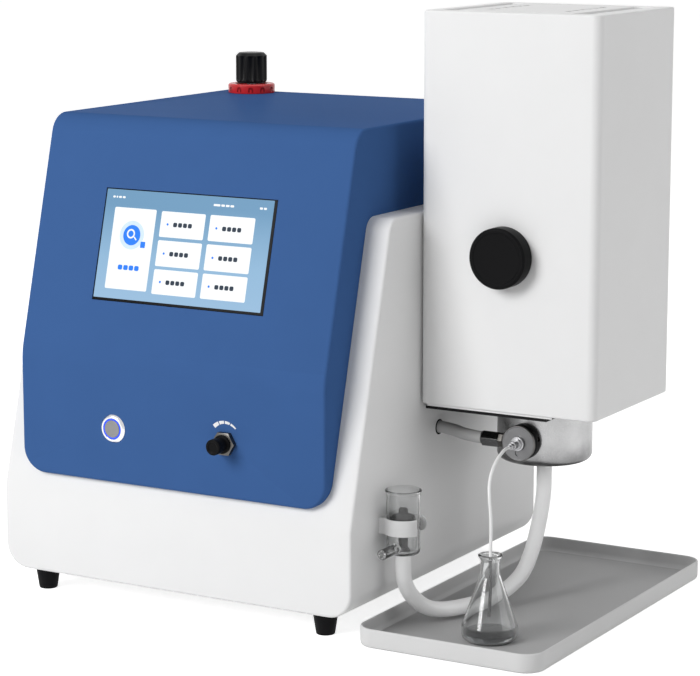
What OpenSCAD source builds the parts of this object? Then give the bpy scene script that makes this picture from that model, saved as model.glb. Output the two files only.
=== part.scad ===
// Flame photometer: a sheet metal housing with a sloping touch screen, and a burner chimney beside it
// The model faces -Y, stands on Z = 0, and its origin is the middle of its footprint.

/* [Housing] */
// Width of the white housing
housing_w = 319; // [310:1:330]
// Depth of the white housing
housing_d = 310; // [306:1:330]
// Height of the housing's shoulders above the bench
housing_top = 313.5; // [310:0.5:320]
// Height above the bench at which the front begins to lean back
front_break = 86; // [82:1:90]
// Lean of the front from the vertical, in degrees
lean = 15; // [14:0.5:16]
// Thickness of the housing's sheet metal
sheet = 2; // [1.6:0.1:2.4]
// Radius of the long edges at the bottom
bottom_r = 20; // [14:1:21]
// Radius of the edge between the front and the shoulders
shoulder_r = 12; // [8:1:16]
// Height of the rubber feet
foot_h = 19; // [17:1:22]
// Radius of a foot at its top
foot_top_r = 10; // [9:0.5:11]
// Radius of a foot where it stands
foot_low_r = 7.25; // [6:0.25:8]
// Distance from the housing's left side to the left feet
foot_left = 26.3; // [26:0.1:34]
// Distance from the housing's right side to the right feet
foot_right = 33.4; // [26:0.1:36]
// Distance from the housing's front and back to the foot centres
foot_inset_y = 20; // [16:1:26]
// How much further in the rear feet stand than the front ones
foot_rear_in = 25; // [0:1:30]

/* [Blue cover] */
// White margin left on each side of the cover
cover_margin = 20.6; // [19:0.2:24]
// How far the cover stands out in front of the housing's lowest front
cover_proud = 2; // [1.5:0.5:4]
// Height of the cover's lower edge
cover_low = 100.3; // [98:0.5:102]
// Height at which the cover begins to lean back
cover_bend = 196.5; // [194:0.5:199]
// Height of the cover's top
cover_top = 380; // [376:1:386]
// White margin left behind the cover
cover_back = 3; // [2:0.5:3.5]
// Thickness of the cover's sheet metal
cover_wall = 2; // [1.6:0.1:2.4]
// Radius of the cover's lower corners
cover_corner_r = 20; // [14:1:22]
// Radius of the edge between the cover's front and top
cover_top_r = 18; // [12:1:22]
// Radius of the soft bend across the cover's front
cover_bend_r = 60; // [40:5:70]

/* [Display] */
// Width of the display glass
display_w = 156; // [150:1:160]
// Height of the display glass along the slope
display_h = 87.6; // [84:0.2:92]
// Distance from the bend up to the glass
display_rise = 46.2; // [44:0.2:50]
// Thickness of the display module behind the glass
display_depth = 12; // [8:1:14]

/* [Ignite button] */
// Distance of the button from the housing's left side
button_left = 108; // [102:1:114]
// Height of the button and of the gas valve
control_z = 143.3; // [141:0.1:146]
// Radius of the bezel
bezel_r = 11.2; // [10.8:0.1:11.8]
// How far the bezel stands out
bezel_h = 2; // [1.6:0.1:2.4]
// Radius of the barrel that passes through the cover
barrel_r = 9.5; // [9.4:0.1:9.8]
// Outer radius of the light ring
light_r = 8.3; // [8.2:0.1:8.4]
// Radius of the press cap
cap_r = 6.95; // [6.6:0.05:7]

/* [Gas valve] */
// Distance of the gas valve from the housing's right side
valve_x = 108; // [104:1:112]
// Width of the hexagon nut across its flats
nut_flats = 17; // [16:0.5:18]
// Thickness of the hexagon nut
nut_h = 4.2; // [3.6:0.1:4.6]
// Radius of the threaded bushing
bushing_r = 5; // [4.6:0.1:5.4]
// Radius of the gas knob at its free end
gas_knob_r = 6.2; // [6:0.1:6.6]
// Distance from the cover's face to the end of the gas knob
gas_knob_reach = 18; // [17:0.5:19]
// Radius of the valve spindle
spindle_r = 2.5; // [2.2:0.1:2.8]
// Radius of the valve needle
needle_r = 1.5; // [1.2:0.1:1.8]

/* [Pressure regulator] */
// Distance of the regulator from the housing's left side
regulator_left = 55.7; // [54:0.5:60]
// Distance of the regulator's axis from the housing's back
regulator_back = 24.6; // [24:0.2:28]
// Radius of the red panel ring
ring_r = 20; // [19:0.5:21]
// Height of the red panel ring
ring_h = 8; // [7:0.5:9]
// Radius of the regulator knob
knob_r = 13.5; // [13:0.5:14.5]
// Height of the regulator knob
knob_h = 26.7; // [24:0.5:30]
// Number of grips round the regulator knob
knob_grips = 12; // [10:1:14]
// Radius of the regulator's bonnet
bonnet_r = 18; // [17:0.5:18]
// Radius of the regulator's threaded neck
neck_r = 14; // [13:0.5:14.5]
// Radius of the regulator's stem
stem_r = 4; // [3.5:0.1:4.5]

/* [Chimney] */
// Width of the chimney box
chimney_w = 147; // [144:1:152]
// Depth of the chimney box
chimney_d = 139.4; // [134:0.2:144]
// Distance from the housing's front to the chimney's front
chimney_front = 104.3; // [102:0.1:107]
// Height of the chimney's lower edge
chimney_low = 166.3; // [165:0.1:168]
// Height of the chimney's top
chimney_top = 466; // [455:1:480]
// Thickness of the chimney's sheet metal
chimney_wall = 1.5; // [1.2:0.1:1.8]
// Radius of the chimney's upright edges
chimney_r = 7; // [5:0.5:9]
// Thickness of the gasket between the chimney and the housing
gasket_t = 0.6; // [0.4:0.1:1]
// Width of the rim round the top opening
rim_w = 12; // [10:0.5:14]
// Height of the viewing port
port_z = 285; // [280:1:288]
// Distance of the viewing port from the housing's right side
port_x = 72; // [70:1:76]
// Radius of the viewing cap
view_cap_r = 23.1; // [22.5:0.1:24]
// How far the viewing cap stands out
view_cap_h = 13.7; // [13:0.1:15]
// Outer radius of the viewing tube
view_tube_r = 20; // [19:0.5:20.5]

/* [Burner] */
// Distance of the burner's axis from the housing's right side
burner_x = 74; // [72:1:76]
// Distance of the burner's axis from the housing's front
burner_y = 174; // [172:1:176]
// Radius of the polished mixing chamber
bowl_r = 37; // [36:0.5:38]
// Height of the mixing chamber's underside
bowl_low = 118.5; // [117:0.5:120]
// Radius of the mixing chamber's lower edge
bowl_edge_r = 6; // [4:0.5:8]
// Height of the bracket plate's underside
bracket_low = 161.3; // [160:0.1:163]
// Thickness of the bracket plate
bracket_t = 2; // [1.5:0.1:2.5]
// Distance from the housing to the bracket plate's right edge
bracket_reach = 105; // [100:1:110]
// Radius of the burner stem
burner_stem_r = 14; // [12:0.5:15]
// Radius of the burner head
burner_head_r = 20; // [18:0.5:22]
// Outer radius of the glass flame chimney
flame_glass_r = 30; // [29:0.5:31]
// Height of the glass flame chimney
flame_glass_h = 200; // [180:5:220]

/* [Nebulizer] */
// Distance of the nebulizer from the housing's right side
nebulizer_x = 75.5; // [74:0.5:77]
// Height of the nebulizer
nebulizer_z = 139; // [138:0.5:140]
// Radius of the nebulizer ring and plate
nebulizer_r = 13.75; // [13:0.25:14.5]
// Thickness of the face plate
plate_t = 2; // [1.5:0.1:2.5]
// Length of the black ring behind the face plate
nebulizer_ring_l = 10; // [9:0.5:11]
// Radius of the air hose
air_hose_r = 4.75; // [4.5:0.05:5]

/* [Drain cup] */
// Distance of the glass cup from the housing's right side
cup_x = 16; // [15.6:0.1:17]
// Distance of the glass cup from the housing's front
cup_y = 51.5; // [51:0.5:52]
// Height of the cup's underside
cup_low = 62; // [61.5:0.5:62.5]
// Height of the cup
cup_h = 49.5; // [46:0.5:52]
// Outer radius of the cup
cup_r = 13; // [12.6:0.1:13.2]
// Thickness of the glass
glass_wall = 1.5; // [1.2:0.1:1.6]
// Radius of the drain nozzle on the cup
nozzle_r = 4; // [3.6:0.1:4.4]
// Length of the drain nozzle
nozzle_l = 20; // [16:1:24]
// Height of the white clip band
band_h = 12.6; // [10:0.2:14]

/* [Tray and flask] */
// Width of the tray
tray_w = 151.5; // [148:0.5:156]
// Depth of the tray
tray_d = 314; // [310:1:316]
// Height of the tray's rim
tray_h = 15; // [13:0.5:16.5]
// Thickness of the tray's floor
tray_floor = 3; // [2:0.5:3.5]
// Thickness of the tray's rim
tray_wall = 2; // [1.6:0.1:3]
// Radius of the tray's corners
tray_r = 16; // [12:1:20]
// Distance of the flask from the housing's right side
flask_x = 86; // [85:0.5:87]
// Distance of the flask from the housing's front
flask_y = 58.7; // [58:0.1:59.5]
// Height of the flask
flask_h = 66; // [64:0.5:68]
// Greatest radius of the flask
flask_r = 21.7; // [20.5:0.1:23]
// Radius of the flask's neck
flask_neck_r = 7.3; // [7:0.1:7.8]
// Thickness of the flask's glass
flask_wall = 1.3; // [1:0.1:1.4]
// Radius of the sample capillary
capillary_r = 1.25; // [0.8:0.05:1.3]

/* [Back] */
// Distance from the housing's right side to the gas spigot
gas_spigot_x = 120; // [115:1:125]
// Distance from the housing's right side to the air spigot
air_spigot_x = 70; // [65:1:75]
// Height of both spigots
spigot_z = 60; // [58:1:62]
// Radius of a spigot's tube
spigot_r = 4; // [3.5:0.1:4.5]
// Length of a spigot's tube outside its nut
spigot_l = 20; // [16:1:24]
// Distance from the housing's left side to the middle of the power inlet
inlet_left = 71; // [64:1:79]

/* [Hidden] */
$fn = 72;

// Radial clearance of a piece that turns or slides in its hole
run_gap = 0.05;
// Clearance round a fixed piece in its cut-out
fit_gap = 0.2;
// Extra reach of every cutting shape past the face it cuts
eps = 1;
regulator_x = housing_w - regulator_left;
button_x = housing_w - button_left;
inlet_x = housing_w - inlet_left;

// Middle of the whole footprint, which is the model's origin
tray_gap = 0.25;
rear_reach = 24;
mid_x = (tray_gap + tray_w - housing_w) / 2;
mid_y = (housing_d + rear_reach - cover_proud - gas_knob_reach) / 2;

// Moves a piece from the housing's lower right front corner to the model's origin
module seat() {
    translate([-mid_x, -mid_y, 0])
    children();
}

// Turns a shape drawn upward so that it points along +Y, +X or -Y
module along_y(x, y, z) {
    translate([x, y, z])
    rotate([-90, 0, 0])
    children();
}
module along_x(x, y, z) {
    translate([x, y, z])
    rotate([0, 90, 0])
    children();
}

function unit(v) = v / norm(v);

// Points of the arc that rounds one corner of an outline
function corner_arc(before, corner, after, r, steps) =
    let (
        back = unit(before - corner),
        ahead = unit(after - corner),
        half = acos(back * ahead) / 2,
        centre = corner + unit(back + ahead) * r / sin(half),
        first = corner + back * r / tan(half) - centre,
        last = corner + ahead * r / tan(half) - centre,
        start = atan2(first.y, first.x),
        swing = atan2(last.y, last.x) - start,
        turn = swing > 180 ? swing - 360 : swing < -180 ? swing + 360 : swing
    )
    [for (i = [0:steps]) centre + r * [cos(start + turn * i / steps), sin(start + turn * i / steps)]];

// Outline through corners given as [x, y, radius]
function rounded(corners, steps = 6) =
    let (n = len(corners), flat = [for (c = corners) [c.x, c.y]])
    [for (i = [0:n - 1])
        each corners[i][2] > 0
            ? corner_arc(flat[(i + n - 1) % n], flat[i], flat[(i + 1) % n], corners[i][2], steps)
            : [flat[i]]];

// Corners of a rectangle from low to high, with one radius for the low corners and one for the high ones
function box_corners(low, high, low_r, high_r) = [
    [low.x, low.y, low_r], [high.x, low.y, low_r], [high.x, high.y, high_r], [low.x, high.y, high_r]];

// One ring of a tube round a point of its route
function tube_ring(centre, ahead, side_of, r, sides) =
    let (across = unit(cross(ahead, side_of)), up = cross(across, ahead))
    [for (k = [0:sides - 1]) centre + r * (cos(360 * k / sides) * across + sin(360 * k / sides) * up)];
function heading(route, i) = unit(route[min(i + 1, len(route) - 1)] - route[max(i - 1, 0)]);

// A closed tube swept along a route; side_of is a direction that the route never takes
module swept_tube(route, r, sides, side_of) {
    last = len(route) - 1;
    points = [for (i = [0:last]) each tube_ring(route[i], heading(route, i), side_of, r, sides)];
    walls = [for (i = [0:last - 1], k = [0:sides - 1])
        let (a = i * sides + k, b = i * sides + (k + 1) % sides)
        each [[a, b, a + sides], [b, b + sides, a + sides]]];
    first_end = [for (k = [sides - 1:-1:0]) k];
    last_end = [for (k = [0:sides - 1]) last * sides + k];
    polyhedron(points, concat(walls, [first_end], [last_end]));
}

// A flat ring or tube drawn upward from Z = 0
module pipe(outer, inner, h) {
    difference() {
        cylinder(r = outer, h = h);
        translate([0, 0, -eps])
        cylinder(r = inner, h = h + 2 * eps);
    }
}

// ---------- Housing and cover ----------

// Depth of the leaning housing front at height z
function front_y(z) = max(0, (z - front_break) * tan(lean));
// Depth of the leaning cover front at height z
function cover_y(z) = -cover_proud + max(0, (z - cover_bend) * tan(lean));

edge_r = 2;
body_low = foot_h;

// The housing's full form, moved in by inset on every side, from the front to the depth rear
module housing_form(inset, rear) {
    side = rounded([
        [inset, body_low + inset, 0],
        [inset, front_break - inset * tan(lean / 2), 0],
        [front_y(housing_top - inset) + inset / cos(lean), housing_top - inset, shoulder_r - inset],
        [rear, housing_top - inset, 0],
        [rear, body_low + inset, 0]
    ]);
    front = rounded(box_corners([-housing_w + inset, body_low + inset], [-inset, housing_top - inset],
        bottom_r - inset, max(edge_r - inset, 0)));
    intersection() {
        translate([-housing_w, 0, 0])
        rotate([90, 0, 90])
        linear_extrude(housing_w)
        polygon(side);
        translate([0, rear, 0])
        rotate([90, 0, 0])
        linear_extrude(rear)
        polygon(front);
    }
}

cover_left = -housing_w + cover_margin;
cover_right = -cover_margin;
cover_rear = housing_d - cover_back;
cover_rear_r = 4;
behind_slope = 30;

// The cover's full form, moved in by inset; its inner side lies inside the housing
module cover_form(inset) {
    side = rounded([
        [-cover_proud + inset, cover_low + inset, 0],
        [-cover_proud + inset, cover_bend - inset * tan(lean / 2), cover_bend_r],
        [cover_y(cover_top - inset) + inset / cos(lean), cover_top - inset, cover_top_r - inset],
        [cover_rear - inset, cover_top - inset, cover_rear_r - inset],
        [cover_rear - inset, housing_top - behind_slope, 0],
        [front_y(housing_top) + behind_slope, housing_top - behind_slope, 0],
        [front_y(cover_low) + behind_slope, cover_low + inset, 0]
    ], 8);
    front = rounded(box_corners([cover_left + inset, cover_low + inset],
        [cover_right - inset, cover_top - inset], cover_corner_r - inset, max(edge_r - inset, 0)));
    intersection() {
        translate([-housing_w, 0, 0])
        rotate([90, 0, 90])
        linear_extrude(housing_w)
        polygon(side);
        translate([0, housing_d, 0])
        rotate([90, 0, 0])
        linear_extrude(housing_d + 2 * cover_proud)
        polygon(front);
    }
}

seat_lip = 8;
rear_lip = 5.5;
hose_hole_r = 6;
hose_y = 138;
hose_z = 141.5;
optics_tube_r = 15;
gas_line_z = 178;
gas_line_hole_r = 4;

// Holes through the housing's right side, the gasket and the chimney's left side
module side_holes() {
    reach = 3 * sheet;
    along_x(-reach, burner_y, port_z)
    cylinder(r = optics_tube_r + fit_gap, h = 2 * reach);
    along_x(-reach, burner_y, gas_line_z)
    cylinder(r = gas_line_hole_r, h = 2 * reach);
}

module lower_housing() {
    color([0.93, 0.93, 0.94])
    seat()
    difference() {
        housing_form(0, housing_d);
        housing_form(sheet, housing_d + eps);
        translate([cover_left + seat_lip, -eps, cover_low + seat_lip])
        cube([cover_right - cover_left - 2 * seat_lip, housing_d - rear_lip + eps, housing_top]);
        side_holes();
        along_x(-2 * sheet, hose_y, hose_z)
        cylinder(r = hose_hole_r, h = 4 * sheet);
    }
}

plate_low = body_low + sheet;
foot_screw_r = 2.2;
foot_front_y = foot_inset_y;
foot_rear_y = housing_d - foot_inset_y;
foot_places = [[foot_left - housing_w, foot_front_y], [-foot_right, foot_front_y],
    [foot_left + foot_rear_in - housing_w, foot_rear_y], [-foot_right - foot_rear_in, foot_rear_y]];
standoff_h = 10;
standoff_r = 3;
board_x = -180;
board_y = 60;
board_w = 140;
board_d = 100;
standoff_inset = 8;
module base_plate() {
    color([0.72, 0.73, 0.75])
    seat() {
        difference() {
            translate([-housing_w + bottom_r + sheet, 3 * sheet, plate_low])
            cube([housing_w - 2 * bottom_r - 2 * sheet, housing_d - 6 * sheet, sheet]);
            for (place = foot_places)
                translate([place.x, place.y, plate_low - eps])
                cylinder(r = foot_screw_r, h = sheet + 2 * eps);
        }
        for (x = [standoff_inset, board_w - standoff_inset], y = [standoff_inset, board_d - standoff_inset])
            translate([board_x + x, board_y + y, plate_low + sheet])
            cylinder(r = standoff_r, h = standoff_h);
    }
}

lean_pivot = [0, -cover_proud, cover_bend];
display_mid_x = (cover_left + cover_right) / 2;
// Places a shape on the cover's slope: X along the width, Y into the housing, Z up the slope
module on_slope() {
    translate([display_mid_x, lean_pivot.y, lean_pivot.z])
    rotate([-lean, 0, 0])
    children();
}

module top_cover() {
    color([0.27, 0.40, 0.61])
    seat()
    difference() {
        cover_form(0);
        cover_form(cover_wall);
        housing_form(0, housing_d);
        on_slope()
        translate([-display_w / 2 - fit_gap, -eps, display_rise - fit_gap])
        cube([display_w + 2 * fit_gap, cover_wall + 2 * eps, display_h + 2 * fit_gap]);
        along_y(-button_x, -cover_proud - eps, control_z)
        cylinder(r = barrel_r + fit_gap, h = cover_wall + 2 * eps);
        along_y(-valve_x, -cover_proud - eps, control_z)
        cylinder(r = bushing_r + fit_gap, h = cover_wall + 2 * eps);
        translate([-regulator_x, housing_d - regulator_back, cover_top - 2 * cover_wall])
        cylinder(r = neck_r + fit_gap, h = 4 * cover_wall);
    }
}

panel_y = housing_d - 2 * sheet;
inlet_low = 40;
inlet_w = 60;
inlet_h = 60;
inlet_body_w = 50;
inlet_body_h = 50;
inlet_mid_z = inlet_low + inlet_h / 2;
spigot_hole_r = 5;
screw_inset = 10;
screw_r = 1.5;
screw_head_r = 3.2;
screw_head_h = 1.8;
screw_l = 6;
// Rear panel screws: beside the left and right edges, at three heights
screw_low_z = 60;
screw_pitch_z = 105;
rear_screw_places = [for (x = [-housing_w + screw_inset, -screw_inset], i = [0:2])
    [x, screw_low_z + i * screw_pitch_z]];
vent_slot_w = 3;
vent_slot_h = 50;
vent_slot_z = 190;
vent_slot_pitch = 10;
panel_slots = 14;
module rear_panel() {
    color([0.90, 0.90, 0.91])
    seat()
    difference() {
        intersection() {
            housing_form(sheet + fit_gap, housing_d + eps);
            translate([-housing_w, panel_y, 0])
            cube([housing_w, sheet, housing_top]);
        }
        translate([-inlet_x - inlet_body_w / 2 - fit_gap, panel_y - eps,
            inlet_mid_z - inlet_body_h / 2 - fit_gap])
        cube([inlet_body_w + 2 * fit_gap, sheet + 2 * eps, inlet_body_h + 2 * fit_gap]);
        for (x = [-gas_spigot_x, -air_spigot_x])
            along_y(x, panel_y - eps, spigot_z)
            cylinder(r = spigot_hole_r + fit_gap, h = sheet + 2 * eps);
        for (place = rear_screw_places)
            along_y(place.x, panel_y - eps, place.y)
            cylinder(r = screw_r + run_gap, h = sheet + 2 * eps);
        for (i = [0:panel_slots - 1])
            translate([(i - (panel_slots - 1) / 2) * vent_slot_pitch - housing_w / 2, panel_y - eps,
                vent_slot_z])
            cube([vent_slot_w, sheet + 2 * eps, vent_slot_h]);
    }
}

module rear_screws() {
    color([0.75, 0.75, 0.76])
    seat()
    for (place = rear_screw_places)
        difference() {
            union() {
                along_y(place.x, panel_y + sheet, place.y)
                cylinder(r = screw_head_r, h = screw_head_h);
                along_y(place.x, panel_y + sheet - screw_l, place.y)
                cylinder(r = screw_r, h = screw_l + eps / 2);
            }
            translate([place.x - screw_head_r / 2, panel_y + sheet + screw_head_h / 2, place.y - 0.4])
            cube([screw_head_r, screw_head_h, 0.8]);
            translate([place.x - 0.4, panel_y + sheet + screw_head_h / 2, place.y - screw_head_r / 2])
            cube([0.8, screw_head_h, screw_head_r]);
        }
}

module feet() {
    color([0.11, 0.11, 0.12])
    seat()
    for (place = foot_places)
        translate([place.x, place.y, 0])
        cylinder(r1 = foot_low_r, r2 = foot_top_r, h = foot_h);
}

// ---------- Display ----------

module display_glass() {
    color([0.05, 0.06, 0.08])
    seat()
    on_slope()
    translate([-display_w / 2, 0, display_rise])
    cube([display_w, cover_wall, display_h]);
}

module_rim = 5;
module display_module() {
    color([0.35, 0.36, 0.38])
    seat()
    on_slope() {
        translate([-display_w / 2 - module_rim, cover_wall, display_rise - module_rim])
        cube([display_w + 2 * module_rim, display_depth, display_h + 2 * module_rim]);
        translate([-display_w / 4, cover_wall + display_depth, display_rise + display_h / 4])
        cube([display_w / 2, 2, display_h / 2]);
    }
}

// ---------- Ignite button ----------

cover_face = -cover_proud;
light_t = 2.8;
light_proud = 1.8;
barrel_l = 24;
barrel_floor = 2;
button_l = 10;
module button_bezel() {
    color([0.62, 0.63, 0.65])
    seat()
    difference() {
        union() {
            along_y(-button_x, cover_face - bezel_h, control_z)
            cylinder(r = bezel_r, h = bezel_h);
            along_y(-button_x, cover_face, control_z)
            cylinder(r = barrel_r, h = barrel_l);
        }
        along_y(-button_x, cover_face - light_proud - eps, control_z)
        cylinder(r = light_r, h = light_t + eps);
        along_y(-button_x, cover_face - bezel_h, control_z)
        cylinder(r = cap_r + 2 * run_gap, h = barrel_l + bezel_h - barrel_floor);
    }
}

module button_light_ring() {
    color([0.1, 0.25, 0.95])
    seat()
    along_y(-button_x, cover_face - light_proud, control_z)
    pipe(light_r - run_gap, cap_r + run_gap, light_t);
}

module button_cap() {
    color([0.60, 0.60, 0.62])
    seat()
    along_y(-button_x, cover_face - bezel_h, control_z)
    cylinder(r = cap_r, h = button_l);
}

// ---------- Gas valve ----------

valve_body_w = 18;
valve_body_l = 32;
knob_gap = 0.3;
port_l = 6;
port_r = 4;
gas_tube_r = 3;
module gas_valve_nut() {
    color([0.70, 0.71, 0.73])
    seat()
    difference() {
        along_y(-valve_x, cover_face - nut_h, control_z)
        cylinder(r = nut_flats / 2 / cos(30), h = nut_h, $fn = 6);
        along_y(-valve_x, cover_face - nut_h - eps, control_z)
        cylinder(r = bushing_r + run_gap, h = nut_h + 2 * eps);
    }
}

needle_start = 7;
spindle_end_gap = 1;
needle_l = 18;
valve_back = cover_face + cover_wall;
module gas_valve_body() {
    color([0.78, 0.66, 0.38])
    seat()
    difference() {
        union() {
            along_y(-valve_x, cover_face - nut_h, control_z)
            cylinder(r = bushing_r, h = nut_h + cover_wall + eps);
            translate([-valve_x - valve_body_w / 2, valve_back, control_z - valve_body_w / 2])
            cube([valve_body_w, valve_body_l, valve_body_w]);
            translate([-valve_x, valve_body_w, control_z - valve_body_w / 2 - port_l])
            cylinder(r = port_r, h = port_l);
            along_x(-valve_x + valve_body_w / 2, valve_body_w, control_z)
            cylinder(r = port_r, h = port_l);
        }
        along_y(-valve_x, cover_face - nut_h - eps, control_z)
        cylinder(r = spindle_r + run_gap, h = needle_start - cover_face + nut_h + eps - spindle_end_gap);
        along_y(-valve_x, 0, control_z)
        cylinder(r = needle_r + run_gap, h = needle_start + needle_l + 3);
    }
}

gas_flange_r = 7.3;
gas_flange_t = 1.4;
gas_grip_l = 6;
gas_knob_back = cover_face - nut_h - knob_gap;
gas_knob_l = gas_knob_reach - nut_h - knob_gap;
spindle_l = 6 + nut_h + cover_wall;
module gas_knob() {
    color([0.10, 0.10, 0.11])
    seat() {
        along_y(-valve_x, gas_knob_back - gas_flange_t, control_z)
        cylinder(r = gas_flange_r, h = gas_flange_t);
        along_y(-valve_x, gas_knob_back - gas_knob_l, control_z)
        difference() {
            union() {
                cylinder(r = gas_knob_r, h = gas_grip_l);
                cylinder(r = gas_knob_r - 0.7, h = gas_knob_l);
            }
            translate([0, 0, -eps])
            cylinder(r = gas_knob_r - 1.6, h = eps + 0.5);
        }
        along_y(-valve_x, gas_knob_back - gas_flange_t, control_z)
        cylinder(r = spindle_r, h = spindle_l + gas_flange_t);
    }
}

needle_tip = 5;
module gas_needle() {
    color([0.75, 0.75, 0.77])
    seat()
    along_y(-valve_x, needle_start, control_z) {
        cylinder(r = needle_r, h = needle_l - needle_tip);
        translate([0, 0, needle_l - needle_tip])
        cylinder(r1 = needle_r, r2 = 0.3, h = needle_tip);
    }
}

// ---------- Pressure regulator ----------

regulator_y = housing_d - regulator_back;
bonnet_top = cover_top - cover_wall;
bonnet_h = 40;
bonnet_low = bonnet_top - bonnet_h;
block_h = 20;
bonnet_wall = 5;
spring_room = 32;
cavity_low = bonnet_low + 2;
ring_top = cover_top + ring_h;
regulator_port_z = bonnet_low - block_h / 2;
stem_low = cavity_low + 8;
module regulator_body() {
    color([0.80, 0.81, 0.83])
    seat()
    translate([-regulator_x, regulator_y, 0])
    difference() {
        union() {
            translate([0, 0, bonnet_low])
            cylinder(r = bonnet_r, h = bonnet_h);
            translate([0, 0, bonnet_top - eps])
            cylinder(r = neck_r, h = ring_top - bonnet_top - 1);
            translate([-bonnet_r, -bonnet_r, bonnet_low - block_h])
            cube([2 * bonnet_r, 2 * bonnet_r, block_h + eps]);
            translate([0, -bonnet_r, regulator_port_z])
            rotate([90, 0, 0])
            cylinder(r = port_r, h = port_l);
            along_x(bonnet_r, 0, regulator_port_z)
            cylinder(r = port_r, h = port_l);
        }
        translate([0, 0, cavity_low])
        cylinder(r = bonnet_r - bonnet_wall, h = spring_room);
        translate([0, 0, cavity_low])
        cylinder(r = stem_r + run_gap, h = ring_top);
    }
}

mark_w = 4.2;
mark_h = 4.5;
mark_t = 0.5;
mark_count = 12;
module regulator_ring() {
    color([0.78, 0.12, 0.14])
    seat()
    translate([-regulator_x, regulator_y, cover_top])
    difference() {
        union() {
            cylinder(r = ring_r, h = ring_h - 1);
            translate([0, 0, ring_h - 1])
            cylinder(r1 = ring_r, r2 = ring_r - 1, h = 1);
        }
        translate([0, 0, -eps])
        cylinder(r = neck_r + 2 * run_gap, h = ring_h + 2 * eps);
        for (i = [0:mark_count - 1])
            rotate([0, 0, 360 * i / mark_count])
            translate([ring_r - mark_t, -mark_w / 2, 1])
            cube([mark_t + eps, mark_w, mark_h]);
    }
}

stem_top = ring_top + knob_h - 6;
module regulator_stem() {
    color([0.75, 0.75, 0.77])
    seat()
    translate([-regulator_x, regulator_y, stem_low])
    cylinder(r = stem_r, h = stem_top - stem_low);
}

knob_edge = 1.5;
flute_r = 2.6;
module regulator_knob() {
    color([0.16, 0.16, 0.17])
    seat()
    translate([-regulator_x, regulator_y, ring_top + knob_gap])
    difference() {
        union() {
            cylinder(r1 = knob_r - knob_edge, r2 = knob_r, h = knob_edge);
            translate([0, 0, knob_edge])
            cylinder(r = knob_r, h = knob_h - 2 * knob_edge);
            translate([0, 0, knob_h - knob_edge])
            cylinder(r1 = knob_r, r2 = knob_r - knob_edge, h = knob_edge);
        }
        for (i = [0:knob_grips - 1])
            rotate([0, 0, 360 * i / knob_grips])
            translate([knob_r + flute_r * 0.6, 0, -eps])
            cylinder(r = flute_r, h = knob_h + 2 * eps, $fn = 24);
        translate([0, 0, -eps])
        cylinder(r = stem_r + run_gap, h = stem_top - ring_top + eps);
    }
}

seat_t = 6;
seat_low = cavity_low + 18;
module regulator_seat() {
    color([0.78, 0.66, 0.38])
    seat()
    translate([-regulator_x, regulator_y, seat_low])
    pipe(bonnet_r - bonnet_wall - 1, stem_r + run_gap, seat_t);
}

spring_wire = 0.9;
spring_r = 9;
spring_turns = 5;
spring_steps = 12;
module regulator_spring() {
    rise = seat_low - cavity_low - 2 * spring_wire;
    coil = [for (i = [0:spring_turns * spring_steps])
        [spring_r * cos(360 * i / spring_steps), spring_r * sin(360 * i / spring_steps),
            rise * i / (spring_turns * spring_steps)]];
    color([0.6, 0.6, 0.62])
    seat()
    translate([-regulator_x, regulator_y, cavity_low + spring_wire])
    swept_tube(coil, spring_wire, 6, [0, 0, 1]);
}

// ---------- Chimney ----------

chimney_left = gasket_t;
chimney_right = gasket_t + chimney_w;
chimney_rear = chimney_front + chimney_d;
gasket_rim = 4;

module chimney_outline(inset) {
    polygon(rounded(box_corners([chimney_left + inset, chimney_front + inset],
        [chimney_right - inset, chimney_rear - inset], chimney_r - inset, chimney_r - inset)));
}

module chimney_housing() {
    color([0.93, 0.93, 0.94])
    seat()
    difference() {
        translate([0, 0, chimney_low])
        linear_extrude(chimney_top - chimney_low)
        chimney_outline(0);
        translate([0, 0, chimney_low - eps])
        linear_extrude(chimney_top - chimney_low - chimney_wall + eps)
        chimney_outline(chimney_wall);
        translate([0, 0, chimney_top - 2 * chimney_wall])
        linear_extrude(4 * chimney_wall)
        chimney_outline(rim_w);
        side_holes();
        along_y(port_x, chimney_front - eps, port_z)
        cylinder(r = view_tube_r + fit_gap, h = chimney_wall + 2 * eps);
    }
}

module chimney_gasket() {
    color([0.12, 0.12, 0.13])
    seat()
    difference() {
        translate([0, chimney_front + chimney_r, chimney_low + gasket_rim])
        cube([gasket_t, chimney_d - 2 * chimney_r, housing_top - chimney_low - 2 * gasket_rim]);
        side_holes();
    }
}

// The vent plate lies under the chimney's rim and carries a raised middle with a row of slots
vent_drop = 1.5;
vent_raise_x = 24;
vent_raise_r = 27;
vent_slots = 6;
vent_pitch = 15;
vent_hole_l = 9;
vent_hole_w = 3;
module vent_plate() {
    under_rim = chimney_top - chimney_wall;
    floor_low = under_rim - vent_drop;
    raise_w = chimney_w - vent_raise_x - vent_raise_r;
    raise_inset = rim_w + 3;
    color([0.90, 0.90, 0.91])
    seat()
    difference() {
        union() {
            translate([0, 0, floor_low])
            linear_extrude(vent_drop)
            chimney_outline(chimney_wall + fit_gap);
            translate([vent_raise_x, chimney_front + raise_inset, floor_low])
            cube([raise_w, chimney_d - 2 * raise_inset, chimney_top - floor_low]);
        }
        translate([vent_raise_x + chimney_wall, chimney_front + raise_inset + chimney_wall, floor_low - eps])
        cube([raise_w - 2 * chimney_wall, chimney_d - 2 * raise_inset - 2 * chimney_wall,
            chimney_top - chimney_wall - floor_low + eps]);
        for (i = [0:vent_slots - 1], x = [vent_raise_x + 16, vent_raise_x + raise_w - 16])
            translate([x, burner_y + (i - (vent_slots - 1) / 2) * vent_pitch - vent_hole_l / 2,
                chimney_top - 3])
            cube([vent_hole_w, vent_hole_l, 3 + eps]);
    }
}

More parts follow.
